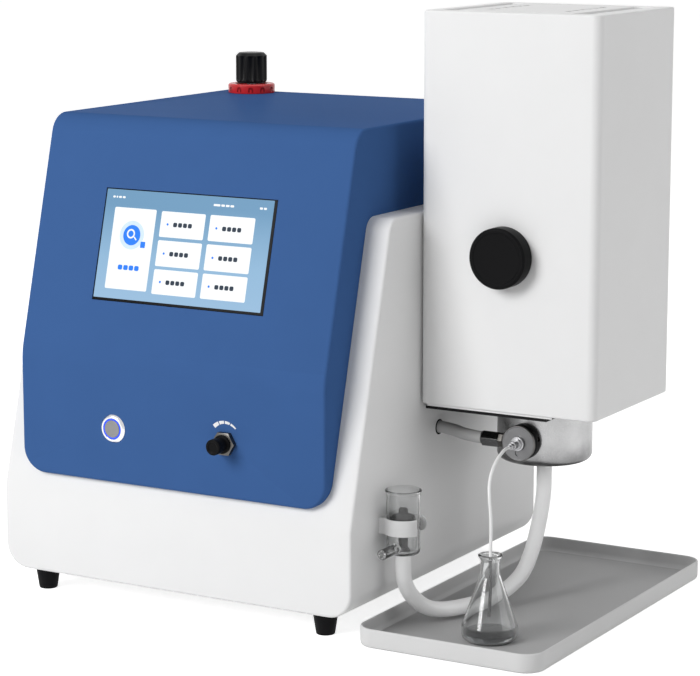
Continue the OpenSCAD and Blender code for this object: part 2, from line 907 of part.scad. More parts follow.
bracket_front = chimney_front + 7;
bracket_rear = chimney_rear - 7;
bracket_left = 2.5;
riser_h = 12;
module chamber_bracket() {
    length = bracket_reach - bracket_left;
    inner_front = chimney_front + chimney_wall;
    inner_rear = chimney_rear - chimney_wall;
    flange_z = bracket_low + riser_h;
    color([0.88, 0.88, 0.89])
    seat()
    difference() {
        union() {
            translate([bracket_left, bracket_front, bracket_low])
            cube([length, bracket_rear - bracket_front, bracket_t]);
            for (y = [bracket_front, bracket_rear - bracket_t])
                translate([chimney_left + chimney_r + 2, y, bracket_low])
                cube([length - chimney_r - 2, bracket_t, riser_h]);
            translate([chimney_left + chimney_r + 2, inner_front, flange_z])
            cube([length - chimney_r - 2, bracket_front + bracket_t - inner_front, bracket_t]);
            translate([chimney_left + chimney_r + 2, bracket_rear - bracket_t, flange_z])
            cube([length - chimney_r - 2, inner_rear - bracket_rear + bracket_t, bracket_t]);
        }
        translate([burner_x, burner_y, bracket_low - eps])
        cylinder(r = burner_stem_r + fit_gap, h = bracket_t + 2 * eps);
    }
}

// ---------- Burner ----------

bowl_wall = 1.5;
boss_r = 12.5;
boss_face = burner_y - bowl_r - 1;
drain_collar_l = 4.5;
drain_collar_r = 6;
drain_bore_r = 3;
bowl_dome = 1;
module mixing_chamber() {
    color([0.78, 0.79, 0.80])
    seat()
    difference() {
        union() {
            translate([burner_x, burner_y, 0])
            rotate_extrude($fn = 120)
            polygon(rounded([
                [0, bowl_low - bowl_dome, 0],
                [bowl_r, bowl_low, bowl_edge_r],
                [bowl_r, bracket_low, 0],
                [0, bracket_low, 0]
            ]));
            along_y(nebulizer_x, boss_face, nebulizer_z)
            cylinder(r = boss_r, h = bowl_r / 2);
            translate([burner_x, burner_y, bowl_low - drain_collar_l])
            cylinder(r = drain_collar_r, h = drain_collar_l);
        }
        translate([burner_x, burner_y, 0])
        rotate_extrude($fn = 120)
        polygon(rounded([
            [0, bowl_low + bowl_wall, 0],
            [bowl_r - bowl_wall, bowl_low + bowl_wall, bowl_edge_r - bowl_wall],
            [bowl_r - bowl_wall, bracket_low - bowl_wall, 0],
            [0, bracket_low - bowl_wall, 0]
        ]));
        along_y(nebulizer_x, boss_face - eps, nebulizer_z)
        cylinder(r = nebulizer_bore_r, h = bowl_r);
        translate([burner_x, burner_y, bowl_low - drain_collar_l - eps])
        cylinder(r = drain_bore_r, h = drain_collar_l + 4);
        translate([burner_x, burner_y, bracket_low - 2 * bowl_wall])
        cylinder(r = burner_bore_r, h = 4 * bowl_wall);
    }
}

burner_bore_r = 8;
burner_flange_z = 192;
burner_flange_t = 3;
burner_head_h = 14;
burner_cap_t = 3;
gas_boss_l = 4;
module burner_head() {
    top = burner_flange_z + burner_flange_t;
    color([0.66, 0.67, 0.69])
    seat()
    difference() {
        union() {
            translate([burner_x, burner_y, bracket_low])
            cylinder(r = burner_stem_r, h = burner_flange_z - bracket_low + eps);
            translate([burner_x, burner_y, burner_flange_z])
            cylinder(r = flame_glass_r + 2, h = burner_flange_t);
            translate([burner_x, burner_y, top - eps])
            cylinder(r = burner_head_r, h = burner_head_h + eps);
            along_x(burner_x - burner_stem_r - gas_boss_l, burner_y, gas_line_z)
            cylinder(r = port_r, h = burner_stem_r);
        }
        translate([burner_x, burner_y, bracket_low - eps])
        cylinder(r = burner_bore_r, h = top + burner_head_h - burner_cap_t - bracket_low + eps);
        for (i = [0:11])
            rotate_about_burner(360 * i / 12)
            translate([5.8, 0, top])
            cylinder(r = 0.9, h = burner_head_h + eps);
        translate([burner_x, burner_y, top])
        cylinder(r = 0.9, h = burner_head_h + eps);
    }
}
module rotate_about_burner(angle) {
    translate([burner_x, burner_y, 0])
    rotate([0, 0, angle])
    children();
}

flame_glass_wall = 2;
module flame_glass() {
    color([0.85, 0.92, 0.95, 0.4])
    seat()
    translate([burner_x, burner_y, burner_flange_z + burner_flange_t])
    pipe(flame_glass_r, flame_glass_r - flame_glass_wall, flame_glass_h);
}

electrode_h = 24;
module igniter_electrode() {
    color([0.92, 0.90, 0.84])
    seat()
    rotate_about_burner(-60)
    translate([burner_head_r + 3.5, 0, burner_flange_z + burner_flange_t]) {
        cylinder(r = 2.5, h = electrode_h - 6);
        cylinder(r = 0.8, h = electrode_h);
        translate([-10, 0, electrode_h - 0.8])
        rotate([0, 90, 0])
        cylinder(r = 0.8, h = 10);
    }
}

tube_wall = 2;
tube_inside = 30;
view_cap_floor = 2.5;
window_t = 3;
window_back = 3;
module viewing_tube() {
    spigot = view_cap_h - view_cap_floor - knob_gap;
    color([0.80, 0.80, 0.82])
    seat()
    difference() {
        union() {
            along_y(port_x, chimney_front - spigot, port_z)
            cylinder(r = view_tube_r, h = spigot + tube_inside);
            along_y(port_x, chimney_front + chimney_wall, port_z)
            cylinder(r = view_tube_r + 3, h = 2);
        }
        along_y(port_x, chimney_front - spigot - eps, port_z)
        cylinder(r = view_tube_r - tube_wall, h = spigot + window_back + window_t + eps);
        along_y(port_x, chimney_front, port_z)
        cylinder(r = view_tube_r - 2 * tube_wall, h = tube_inside + eps);
    }
}

module viewing_window() {
    color([0.2, 0.3, 0.55, 0.6])
    seat()
    along_y(port_x, chimney_front + window_back, port_z)
    cylinder(r = view_tube_r - tube_wall - run_gap, h = window_t);
}

module viewing_cap() {
    edge = 1.6;
    color([0.10, 0.10, 0.11])
    seat()
    along_y(port_x, chimney_front - view_cap_h, port_z)
    difference() {
        union() {
            cylinder(r1 = view_cap_r - edge, r2 = view_cap_r, h = edge);
            translate([0, 0, edge])
            cylinder(r = view_cap_r, h = view_cap_h - edge - knob_gap);
        }
        translate([0, 0, view_cap_floor])
        cylinder(r = view_tube_r + run_gap, h = view_cap_h);
    }
}

// ---------- Optics ----------

optics_w = 60;
optics_side = 52;
optics_bore_r = 12;
optics_reach = 34;
detector_r = 8;
filter_t = 3;
lens_t = 4;
module optics_block() {
    color([0.15, 0.15, 0.16])
    seat()
    difference() {
        union() {
            translate([-sheet - optics_w, burner_y - optics_side / 2, port_z - optics_side / 2])
            cube([optics_w, optics_side, optics_side]);
            along_x(-sheet - eps, burner_y, port_z)
            cylinder(r = optics_tube_r, h = optics_reach + sheet + eps);
        }
        along_x(-sheet - optics_w / 2, burner_y, port_z)
        cylinder(r = optics_bore_r, h = optics_w + optics_reach);
        along_x(-sheet - optics_w - eps, burner_y, port_z)
        cylinder(r = detector_r, h = optics_w);
    }
}
module optics_lens() {
    color([0.85, 0.92, 0.95, 0.4])
    seat()
    along_x(optics_reach - lens_t - 2, burner_y, port_z)
    cylinder(r = optics_bore_r - run_gap, h = lens_t);
}
module optical_filter() {
    color([0.85, 0.6, 0.2, 0.6])
    seat()
    along_x(-sheet - optics_w / 2, burner_y, port_z)
    cylinder(r = optics_bore_r - run_gap, h = filter_t);
}
module light_detector() {
    color([0.5, 0.5, 0.52])
    seat()
    along_x(-sheet - optics_w, burner_y, port_z)
    cylinder(r = detector_r - run_gap, h = optics_w / 2 - 6);
}

// ---------- Nebulizer and hoses ----------

nebulizer_bore_r = 5;
plate_face = boss_face - nebulizer_ring_l - plate_t;
stub_r = 3.5;
ring_left = nebulizer_x - nebulizer_r - 1;
module nebulizer_ring() {
    color([0.10, 0.10, 0.11])
    seat()
    difference() {
        union() {
            along_y(nebulizer_x, boss_face - nebulizer_ring_l, nebulizer_z)
            cylinder(r = nebulizer_r, h = nebulizer_ring_l);
            along_x(ring_left, boss_face - nebulizer_ring_l / 2, nebulizer_z)
            cylinder(r = stub_r, h = nebulizer_r / 2);
        }
        along_y(nebulizer_x, boss_face - nebulizer_ring_l - eps, nebulizer_z)
        cylinder(r = nebulizer_bore_r, h = nebulizer_ring_l + 2 * eps);
        along_x(nebulizer_x + nebulizer_r - 3, boss_face - nebulizer_ring_l / 2, nebulizer_z)
        cylinder(r = 1.2, h = 5);
    }
}
module nebulizer_plate() {
    color([0.62, 0.63, 0.64])
    seat()
    difference() {
        along_y(nebulizer_x, plate_face, nebulizer_z)
        cylinder(r = nebulizer_r, h = plate_t);
        along_y(nebulizer_x, plate_face - eps, nebulizer_z - 7.6)
        cylinder(r = 2.6, h = eps + 0.6);
        along_y(nebulizer_x, plate_face - eps, nebulizer_z)
        cylinder(r = capillary_r, h = plate_t + 2 * eps);
    }
}

// Radius and length of each step of the capillary fitting, from the plate outward
fitting_steps = [[5.5, 2.2], [4.2, 2], [3.1, 5.8], [2.4, 3.5], [1.7, 2.5]];
function run_before(i) = i == 0 ? 0 : fitting_steps[i - 1][1] + run_before(i - 1);
fitting_l = run_before(len(fitting_steps));
module capillary_fitting() {
    color([0.72, 0.73, 0.75])
    seat()
    translate([nebulizer_x, plate_face, nebulizer_z])
    rotate([90, 0, 0])
    for (i = [0:len(fitting_steps) - 1])
        translate([0, 0, run_before(i)])
        cylinder(r = fitting_steps[i][0], h = fitting_steps[i][1]);
}

nut_l = 4;
block_w = 12;
block_l = 15;
block_right = ring_left - nut_l;
hose_end = block_right - block_l;
hose_line_y = boss_face - nebulizer_ring_l / 2;
module hose_coupling() {
    color([0.14, 0.14, 0.15])
    seat()
    translate([hose_end, hose_line_y - block_w / 2, nebulizer_z - block_w / 2])
    cube([block_l, block_w, block_w]);
}
module coupling_nut() {
    color([0.72, 0.73, 0.75])
    seat()
    along_x(block_right, hose_line_y, nebulizer_z)
    cylinder(r = 5.8, h = nut_l, $fn = 6);
}
module hose_grommet() {
    color([0.12, 0.12, 0.13])
    seat()
    difference() {
        union() {
            along_x(0, hose_y, hose_z)
            cylinder(r = hose_hole_r + 0.8, h = 0.8);
            along_x(-sheet, hose_y, hose_z)
            cylinder(r = hose_hole_r - run_gap, h = sheet + 0.4);
            along_x(-sheet - 1, hose_y, hose_z)
            cylinder(r = hose_hole_r + 1.5, h = 1);
        }
        along_x(-sheet - 2, hose_y, hose_z)
        cylinder(r = air_hose_r + 2 * run_gap, h = sheet + 4);
    }
}

hose_inside = 10;
air_hose_route = [[-hose_inside, hose_y, hose_z], [-3, hose_y, hose_z], [4, hose_y, hose_z], [14, 137, 140.6],
    [24, 134.5, 139.3], [hose_end - 5, hose_line_y, nebulizer_z], [hose_end, hose_line_y, nebulizer_z]];
module air_hose() {
    color([0.85, 0.85, 0.86])
    seat()
    swept_tube(air_hose_route, air_hose_r, 12, [0, 0, 1]);
}

drain_hose_r = 6;
drain_route = [[74, 174, 114], [74, 174, 104], [74, 173, 88], [72, 169.5, 66], [69, 163, 44], [65, 154.5, 28],
    [58, 141, 17.5], [50, 124, 12.5], [41, 104.5, 11], [32, 85, 12], [25, 70, 17], [19.5, 58.5, 28],
    [16.6, 52.5, 40], [16, 51.5, 52], [16, 51.5, 62]];
module drain_hose() {
    color([0.72, 0.72, 0.73])
    seat()
    swept_tube(drain_route, drain_hose_r, 12, [0.9, -0.43, 0]);
}

capillary_route = [[75.5, 108, 139], [75.5, 104, 139], [76.2, 97, 138.1], [77.2, 86, 134.4], [78.8, 74.5, 128.4],
    [80.9, 66, 120], [83, 62.3, 109.5], [84.8, 60.9, 98], [85.7, 59.8, 86], [85.9, 59.1, 74],
    [85.9, 58.95, 62], [85.9, 58.95, 50], [85.5, 59.6, 38], [84.8, 60.3, 28], [84, 60.8, 20]];
module capillary() {
    color([0.93, 0.93, 0.93])
    seat()
    swept_tube(capillary_route, capillary_r, 8, [0.98, 0.19, 0]);
}

// ---------- Drain cup ----------

cup_floor = 2;
lip_r = 0.9;
nozzle_z = cup_low + 6;
nozzle_bore_r = 2;
module glass_cup() {
    color([0.85, 0.92, 0.95, 0.4])
    seat()
    difference() {
        union() {
            translate([cup_x, cup_y, cup_low])
            cylinder(r = cup_r, h = cup_h - lip_r);
            translate([cup_x, cup_y, cup_low + cup_h - lip_r])
            rotate_extrude()
            translate([cup_r - glass_wall + lip_r + 0.8, 0])
            circle(r = lip_r, $fn = 24);
            translate([cup_x, cup_y, cup_low + cup_h - 1.6 * lip_r])
            cylinder(r = cup_r - glass_wall + lip_r + 0.8, h = 1.6 * lip_r);
            translate([cup_x, cup_y - cup_r + glass_wall, nozzle_z])
            rotate([90, 0, 0])
            cylinder(r = nozzle_r, h = nozzle_l + glass_wall);
        }
        translate([cup_x, cup_y, cup_low + cup_floor])
        cylinder(r = cup_r - glass_wall, h = cup_h);
        translate([cup_x, cup_y - cup_r + 2 * glass_wall, nozzle_z])
        rotate([90, 0, 0])
        cylinder(r = nozzle_bore_r, h = nozzle_l + 3 * glass_wall);
    }
}

standpipe_r = 3.5;
bell_r = 9.5;
bell_low = cup_low + 15;
bell_h = 16;
bell_ceiling = 3;
module standpipe() {
    color([0.13, 0.13, 0.14])
    seat()
    translate([cup_x, cup_y, cup_low + cup_floor])
    difference() {
        union() {
            cylinder(r = standpipe_r, h = bell_low + bell_h - bell_ceiling - cup_low - cup_floor);
            cylinder(r = standpipe_r + 1.2, h = 1.6);
        }
        translate([0, 0, -eps])
        cylinder(r = standpipe_r - 1.5, h = bell_low + bell_h);
    }
}
module bell_cap() {
    color([0.13, 0.13, 0.14])
    seat()
    translate([cup_x, cup_y, bell_low])
    difference() {
        union() {
            rotate_extrude()
            polygon(rounded([[0, 0, 0], [bell_r, 0, 0], [bell_r, bell_h, 3], [0, bell_h, 0]]));
            translate([0, 0, bell_h + 0.4])
            intersection() {
                sphere(r = 3.6, $fn = 48);
                translate([0, 0, -2])
                cylinder(r = 4, h = 6);
            }
        }
        translate([0, 0, -eps])
        cylinder(r = bell_r - 1.5, h = bell_h - bell_ceiling + eps);
    }
}

band_low = cup_low + 15.4;
band_t = 1.4;
clip_t = 1.8;
clip_root = 4.6;
clip_reach = 29;
clip_return = 7;
clip_open = 14;
module cup_clip() {
    inner = cup_r + run_gap;
    outer = inner + band_t;
    color([0.92, 0.92, 0.92])
    seat()
    difference() {
        union() {
            translate([cup_x, cup_y, band_low])
            difference() {
                cylinder(r = outer, h = band_h);
                translate([0, 0, -eps])
                linear_extrude(height = band_h + 2 * eps)
                polygon([[0, 0], [2 * outer * cos(clip_open), -2 * outer * sin(clip_open)],
                    [2 * outer, 2 * outer], [0, 2 * outer]]);
            }
            translate([0, cup_y - outer + clip_root, band_low])
            cube([clip_t, 2 * outer - clip_root, band_h]);
            translate([0, cup_y - outer + clip_root, band_low])
            cube([clip_return, band_t, band_h]);
            translate([cup_x - band_t, cup_y + inner, band_low])
            cube([clip_reach - band_h / 2 - cup_x + band_t, band_t, band_h]);
            along_y(clip_reach - band_h / 2, cup_y + inner, band_low + band_h / 2)
            cylinder(r = band_h / 2, h = band_t);
        }
        translate([cup_x, cup_y, band_low - eps])
        cylinder(r = inner, h = band_h + 2 * eps);
    }
}

// ---------- Tray and flask ----------

tray_front = 1.8;
module tray() {
    low = [tray_gap, tray_front];
    high = [tray_gap + tray_w, tray_front + tray_d];
    inset = [tray_wall, tray_wall];
    color([0.86, 0.86, 0.87])
    seat()
    difference() {
        linear_extrude(tray_h)
        polygon(rounded(box_corners(low, high, tray_r, tray_r)));
        translate([0, 0, tray_floor])
        linear_extrude(tray_h)
        polygon(rounded(box_corners(low + inset, high - inset, tray_r - tray_wall, tray_r - tray_wall)));
    }
}

flask_base_r = flask_r - 2.4;
flask_belly = 8.4;
flask_neck_low = flask_h - 14.4;
flask_lip = 2.5;
module flask() {
    wall = flask_wall;
    color([0.80, 0.87, 0.90, 0.4])
    seat()
    translate([flask_x, flask_y, tray_floor])
    rotate_extrude()
    polygon(concat(
        rounded([
            [0, 0, 0], [flask_base_r, 0, 2], [flask_r, flask_belly, 5],
            [flask_neck_r, flask_neck_low, 6], [flask_neck_r, flask_h - 6.3, 3],
            [flask_neck_r + flask_lip, flask_h, 0]
        ]),
        rounded([
            [flask_neck_r + flask_lip - wall, flask_h, 0], [flask_neck_r - wall, flask_h - 6.3, 3],
            [flask_neck_r - wall, flask_neck_low, 6],
            [flask_r - wall * 1.2, flask_belly + 1, 4], [flask_base_r - wall, wall, 1.5], [0, wall, 0]
        ])));
}

// ---------- Inner parts ----------

inner_floor = plate_low + sheet;
module main_board() {
    board_z = inner_floor + standoff_h;
    color([0.10, 0.38, 0.22])
    seat() {
        translate([board_x, board_y, board_z])
        cube([board_w, board_d, 1.6]);
        for (chip = [[20, 20, 24, 24, 3], [70, 18, 18, 30, 4], [26, 76, 40, 14, 9], [100, 34, 24, 48, 12]])
            translate([board_x + chip[0], board_y + chip[1], board_z + 1.6])
            cube([chip[2], chip[3], chip[4]]);
    }
}
supply_w = 100;
supply_d = 100;
supply_h = 42;
supply_side_gap = 4;
supply_rear_gap = 14;
supply_slot_w = 4;
supply_slot_pitch = 9;
supply_slot_inset = 12;
supply_slot_h = 2;
module power_supply() {
    slots_w = supply_w - 2 * supply_slot_inset;
    color([0.75, 0.76, 0.78])
    seat()
    translate([-housing_w + bottom_r + supply_side_gap,
        panel_y + sheet - inlet_depth - supply_rear_gap - supply_d, inner_floor])
    difference() {
        cube([supply_w, supply_d, supply_h]);
        for (x = [supply_slot_inset:supply_slot_pitch:supply_slot_inset + slots_w - supply_slot_w])
            translate([x, supply_slot_inset, supply_h - supply_slot_h])
            cube([supply_slot_w, supply_d - 2 * supply_slot_inset, supply_slot_h + eps]);
    }
}
transformer_w = 46;
transformer_d = 56;
transformer_h = 34;
transformer_side_gap = 14;
spark_post_r = 8;
spark_post_h = 10;
module igniter_transformer() {
    color([0.12, 0.12, 0.13])
    seat()
    translate([-housing_w + bottom_r + transformer_side_gap, board_y, inner_floor]) {
        cube([transformer_w, transformer_d, transformer_h]);
        translate([transformer_w / 2, transformer_d / 2, transformer_h])
        cylinder(r = spark_post_r, h = spark_post_h);
    }
}
solenoid_w = 30;
solenoid_d = 40;
solenoid_rear_gap = 41;
solenoid_y = panel_y - solenoid_rear_gap - solenoid_d;
module gas_solenoid() {
    color([0.78, 0.66, 0.38])
    seat()
    translate([-gas_spigot_x - solenoid_w / 2, solenoid_y, inner_floor])
    difference() {
        union() {
            cube([solenoid_w, solenoid_d, spigot_z - inner_floor + 12]);
            translate([solenoid_w / 2, solenoid_d / 2, spigot_z - inner_floor + 11])
            cylinder(r = 12, h = 30);
        }
        translate([solenoid_w / 2, -eps, spigot_z - inner_floor])
        rotate([-90, 0, 0])
        cylinder(r = 1.6, h = solenoid_d + 2 * eps);
    }
}

valve_in_low = control_z - valve_body_w / 2 - port_l;
valve_out_x = -valve_x + valve_body_w / 2 + port_l;
spigot_tail = 10;
tube_lead = 8;
spigot_inner = panel_y - spigot_tail;
module inner_tubes() {
    spigot_to_solenoid = [[-gas_spigot_x, spigot_inner, spigot_z],
        [-gas_spigot_x, solenoid_y + solenoid_d, spigot_z]];
    solenoid_to_valve = [[-gas_spigot_x, solenoid_y, spigot_z],
        [-gas_spigot_x, solenoid_y - tube_lead, spigot_z],
        [-gas_spigot_x, 190, spigot_z + 1], [-118, 120, 66], [-112, 50, 76], [-valve_x, 26, 92],
        [-valve_x, valve_body_w, valve_in_low - 10], [-valve_x, valve_body_w, valve_in_low]];
    valve_to_burner = [[valve_out_x, valve_body_w, control_z], [valve_out_x + 8, valve_body_w, control_z],
        [-70, 24, 146], [-48, 60, 158], [-34, 110, 170], [-28, 150, 176], [-20, 170, gas_line_z],
        [-10, burner_y, gas_line_z], [burner_x - burner_stem_r - gas_boss_l, burner_y, gas_line_z]];
    spigot_to_regulator = [[-air_spigot_x, spigot_inner, spigot_z],
        [-air_spigot_x, spigot_inner - tube_lead, spigot_z],
        [-80, 272, 80], [-120, 262, 150], [-200, 250, 250], [-250, 244, 308],
        [-regulator_x, regulator_y - bonnet_r - port_l - 8, regulator_port_z],
        [-regulator_x, regulator_y - bonnet_r - port_l, regulator_port_z]];
    regulator_to_hose = [[-regulator_x + bonnet_r + port_l, regulator_y, regulator_port_z],
        [-regulator_x + bonnet_r + port_l + 8, regulator_y, regulator_port_z], [-200, 282, 310],
        [-120, 262, 250], [-60, 225, 190], [-28, 170, 152], [-18, hose_y, hose_z],
        [-hose_inside, hose_y, hose_z]];
    color([0.15, 0.35, 0.75])
    seat() {
        swept_tube(spigot_to_solenoid, gas_tube_r, 8, [1, 0, 0]);
        swept_tube(solenoid_to_valve, gas_tube_r, 8, [1, 0, 0]);
        swept_tube(valve_to_burner, gas_tube_r, 8, [0, 0, 1]);
        swept_tube(spigot_to_regulator, gas_tube_r, 8, [1, 0, 1]);
        swept_tube(regulator_to_hose, gas_tube_r, 8, [0, 0, 1]);
    }
}

// ---------- Back ----------

panel_face = panel_y + sheet;
inlet_depth = 24;
inlet_flange_t = 2.5;
socket_w = 24;
socket_h = 16;
socket_l = 17;
socket_z = inlet_low + 17;
blade_l = 13;
rocker_z = inlet_low + 44;
rocker_w = 13;
rocker_room = 11.6;
rocker_pivot_y = panel_face - 4;
rocker_pin_r = 1.5;
module power_inlet() {
    color([0.12, 0.12, 0.13])
    seat() {
        difference() {
            union() {
                translate([-inlet_x - inlet_w / 2, panel_face, inlet_low])
                cube([inlet_w, inlet_flange_t, inlet_h]);
                translate([-inlet_x - inlet_body_w / 2, panel_face - inlet_depth,
                    inlet_mid_z - inlet_body_h / 2])
                cube([inlet_body_w, inlet_depth + eps, inlet_body_h]);
            }
            translate([-inlet_x - socket_w / 2, panel_face + inlet_flange_t - socket_l,
                socket_z - socket_h / 2])
            cube([socket_w, socket_l + eps, socket_h]);
            translate([-inlet_x - rocker_w / 2 - fit_gap, panel_face - 16, rocker_z - rocker_room])
            cube([rocker_w + 2 * fit_gap, 20, 2 * rocker_room]);
        }
        for (x = [-7, 0, 7])
            translate([-inlet_x + x - 1, panel_face + inlet_flange_t - socket_l - eps, socket_z + 1])
            cube([2, blade_l + eps, 4]);
        for (side = [-1, 1])
            along_x(-inlet_x + side * (rocker_w / 2 + fit_gap - 0.9) - 1, rocker_pivot_y, rocker_z)
            cylinder(r = rocker_pin_r, h = 2);
    }
}

rocker_tilt = 10;
rocker_half = 9;
module rocker_switch() {
    color([0.60, 0.08, 0.08])
    seat()
    translate([-inlet_x - rocker_w / 2, rocker_pivot_y, rocker_z])
    difference() {
        rotate([-rocker_tilt, 0, 0])
        rotate([90, 0, 90])
        linear_extrude(rocker_w)
        polygon([[-5, -5], [3, -rocker_half], [6, -rocker_half], [4.6, 0],
            [6, rocker_half], [3, rocker_half], [-5, 5]]);
        for (x = [-eps, rocker_w - 1.8])
            translate([x, 0, 0])
            rotate([0, 90, 0])
            cylinder(r = rocker_pin_r + run_gap, h = 1.8 + eps);
    }
}

spigot_nut_h = 6;
module rear_spigots() {
    color([0.78, 0.66, 0.38])
    seat()
    for (x = [-gas_spigot_x, -air_spigot_x])
        difference() {
            union() {
                along_y(x, panel_face, spigot_z)
                cylinder(r = 8, h = spigot_nut_h, $fn = 6);
                along_y(x, spigot_inner, spigot_z)
                cylinder(r = spigot_hole_r, h = panel_face - spigot_inner + eps);
                along_y(x, panel_face, spigot_z)
                cylinder(r = spigot_r, h = spigot_nut_h + spigot_l);
            }
            along_y(x, spigot_inner + eps, spigot_z)
            cylinder(r = spigot_r - 1.4, h = panel_face - spigot_inner + spigot_nut_h + spigot_l);
        }
}

// ---------- Drawing ----------

lower_housing();
base_plate();
top_cover();
rear_panel();
rear_screws();
feet();
display_glass();
display_module();
button_bezel();
button_light_ring();
button_cap();
gas_valve_nut();
gas_valve_body();
gas_knob();
gas_needle();
regulator_body();
regulator_ring();
regulator_stem();
regulator_knob();
regulator_seat();
regulator_spring();
chimney_housing();
chimney_gasket();
vent_plate();
chamber_bracket();
mixing_chamber();
burner_head();
flame_glass();
igniter_electrode();
viewing_tube();
viewing_window();
viewing_cap();
optics_block();
optics_lens();
optical_filter();
light_detector();
nebulizer_ring();
nebulizer_plate();
capillary_fitting();
hose_coupling();
coupling_nut();
hose_grommet();
air_hose();
drain_hose();
capillary();
glass_cup();
standpipe();
bell_cap();
cup_clip();
tray();
flask();
main_board();
power_supply();
igniter_transformer();
gas_solenoid();
inner_tubes();
power_inlet();
rocker_switch();
rear_spigots();
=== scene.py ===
# %% [markdown]
# # A flame photometer, dressed for the studio
# The instrument is a sheet metal cabinet with a sloping touch screen. A tall white chimney hangs on its
# right side over a polished mixing chamber. A nebulizer sprays the sample into that chamber, a hose drains
# it into a small glass cup, and a flask and a tray stand below. Each cell builds a few pieces or finishes.

# %% Load the frame
from math import atan2, cos, pi, radians, sin, sqrt, tan

import bmesh
import bpy
from mathutils import Matrix, Vector


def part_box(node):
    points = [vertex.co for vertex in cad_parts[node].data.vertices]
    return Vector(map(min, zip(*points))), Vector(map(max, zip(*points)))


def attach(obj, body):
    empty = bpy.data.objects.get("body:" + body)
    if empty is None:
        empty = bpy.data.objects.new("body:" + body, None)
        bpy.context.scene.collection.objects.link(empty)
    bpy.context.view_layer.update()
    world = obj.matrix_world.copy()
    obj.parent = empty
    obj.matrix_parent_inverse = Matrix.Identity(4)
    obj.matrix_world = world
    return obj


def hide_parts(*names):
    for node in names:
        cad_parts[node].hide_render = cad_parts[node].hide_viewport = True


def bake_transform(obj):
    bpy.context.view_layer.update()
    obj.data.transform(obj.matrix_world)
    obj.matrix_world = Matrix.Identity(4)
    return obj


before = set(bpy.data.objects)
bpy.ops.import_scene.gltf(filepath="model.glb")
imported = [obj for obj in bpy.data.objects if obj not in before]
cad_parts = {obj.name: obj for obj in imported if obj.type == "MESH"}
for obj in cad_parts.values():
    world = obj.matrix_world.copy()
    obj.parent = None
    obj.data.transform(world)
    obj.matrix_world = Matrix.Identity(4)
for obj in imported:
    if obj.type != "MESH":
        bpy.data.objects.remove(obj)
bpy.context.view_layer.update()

# %% [markdown]
# ## One corner to measure from
# A sheet metal shop measures a cabinet from one corner. Here it is the lower right front corner of the
# white housing, and all sizes below are millimetres from there: X to the right, Y to the back and Z up
# from the bench. The corner is read from the frame, so each piece lands where the construction has it.

# %% The corner and its units
MM = 0.001
housing_low, housing_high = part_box("lower_housing")
CORNER = Vector((housing_high.x, housing_low.y, 0))


def place(x, y, z):
    """The point x, y, z in millimetres from the corner, in the frame's metres."""
    return CORNER + Vector((x, y, z)) * MM


def box_mm(node):
    """A node's lowest and highest corners in millimetres from the corner."""
    low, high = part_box(node)
    return (low - CORNER) / MM, (high - CORNER) / MM


print("housing box in mm:", [tuple(round(v, 2) for v in c) for c in box_mm("lower_housing")])

# %% [markdown]
# ## The camera
# Product photographers stand well back with a long lens, so that upright edges stay nearly parallel. The
# camera's place was found from the edges of the cabinet, whose faces are known to be square.

# %% Camera
CAMERA_PLACE = (930.7, -1612.4, 571.3)
CAMERA_YAW = radians(30.009)
CAMERA_PITCH = radians(10.286)
LENS = 133.58
camera_data = bpy.data.cameras.new("studio_camera")
camera_data.lens = LENS
camera_data.sensor_width = 36
camera = bpy.data.objects.new("studio_camera", camera_data)
camera.location = place(*CAMERA_PLACE)
camera.rotation_euler = (pi / 2 - CAMERA_PITCH, 0, CAMERA_YAW)
bpy.context.scene.collection.objects.link(camera)
bpy.context.scene.camera = camera
print("camera at", tuple(round(v, 3) for v in camera.location))

# %% [markdown]
# ## Finishes
# A finish is more than one colour. Powder coat has a fine orange peel, moulded plastic a faint grain, and
# turned steel has rings that stretch the highlights. Each one is built from noise in the object's own
# coordinates, so the grain has a real size in millimetres and stays on the piece when it moves.


# %% Helpers for node materials
def fill(made, inputs):
    """Sets a node's inputs: another node's output is linked, and anything else is written in its socket."""
    for key, value in inputs.items():
        if isinstance(value, bpy.types.NodeSocket):
            made.id_data.links.new(value, made.inputs[key])
        else:
            made.inputs[key].default_value = value


def add_node(tree, kind, inputs=None, **settings):
    """A new shader node with its inputs and settings."""
    made = tree.nodes.new("ShaderNode" + kind)
    for key, value in settings.items():
        setattr(made, key, value)
    fill(made, inputs or {})
    return made


def new_material(name):
    """A node material with its Principled shader; returns the material, its node tree and the shader."""
    material = bpy.data.materials.new(name)
    material.use_nodes = True
    return material, material.node_tree, material.node_tree.nodes["Principled BSDF"]


def object_noise(tree, grain_mm, detail=3.0, stretch=(1, 1, 1)):
    """Noise whose grains are about grain_mm across, stretched along the axes by the given factors."""
    place_on_piece = add_node(tree, "TexCoord").outputs["Object"]
    mapping = add_node(tree, "Mapping", {"Vector": place_on_piece, "Scale": stretch})
    return add_node(tree, "TexNoise", {"Vector": mapping.outputs["Vector"], "Scale": 1 / (grain_mm * MM),
                                       "Detail": detail}).outputs["Fac"]


def add_bump(tree, shader, height, depth_mm):
    """Turns a height into bumps of about depth_mm."""
    bump = add_node(tree, "Bump", {"Height": height, "Distance": depth_mm * MM, "Strength": 1})
    fill(shader, {"Normal": bump.outputs["Normal"]})


NOISE_LOW, NOISE_HIGH = 0.3, 0.7


def spread(tree, value, low, high):
    """Maps a noise value onto the range from low to high."""
    return add_node(tree, "MapRange", {"Value": value, "From Min": NOISE_LOW, "From Max": NOISE_HIGH,
                                       "To Min": low, "To Max": high}).outputs["Result"]


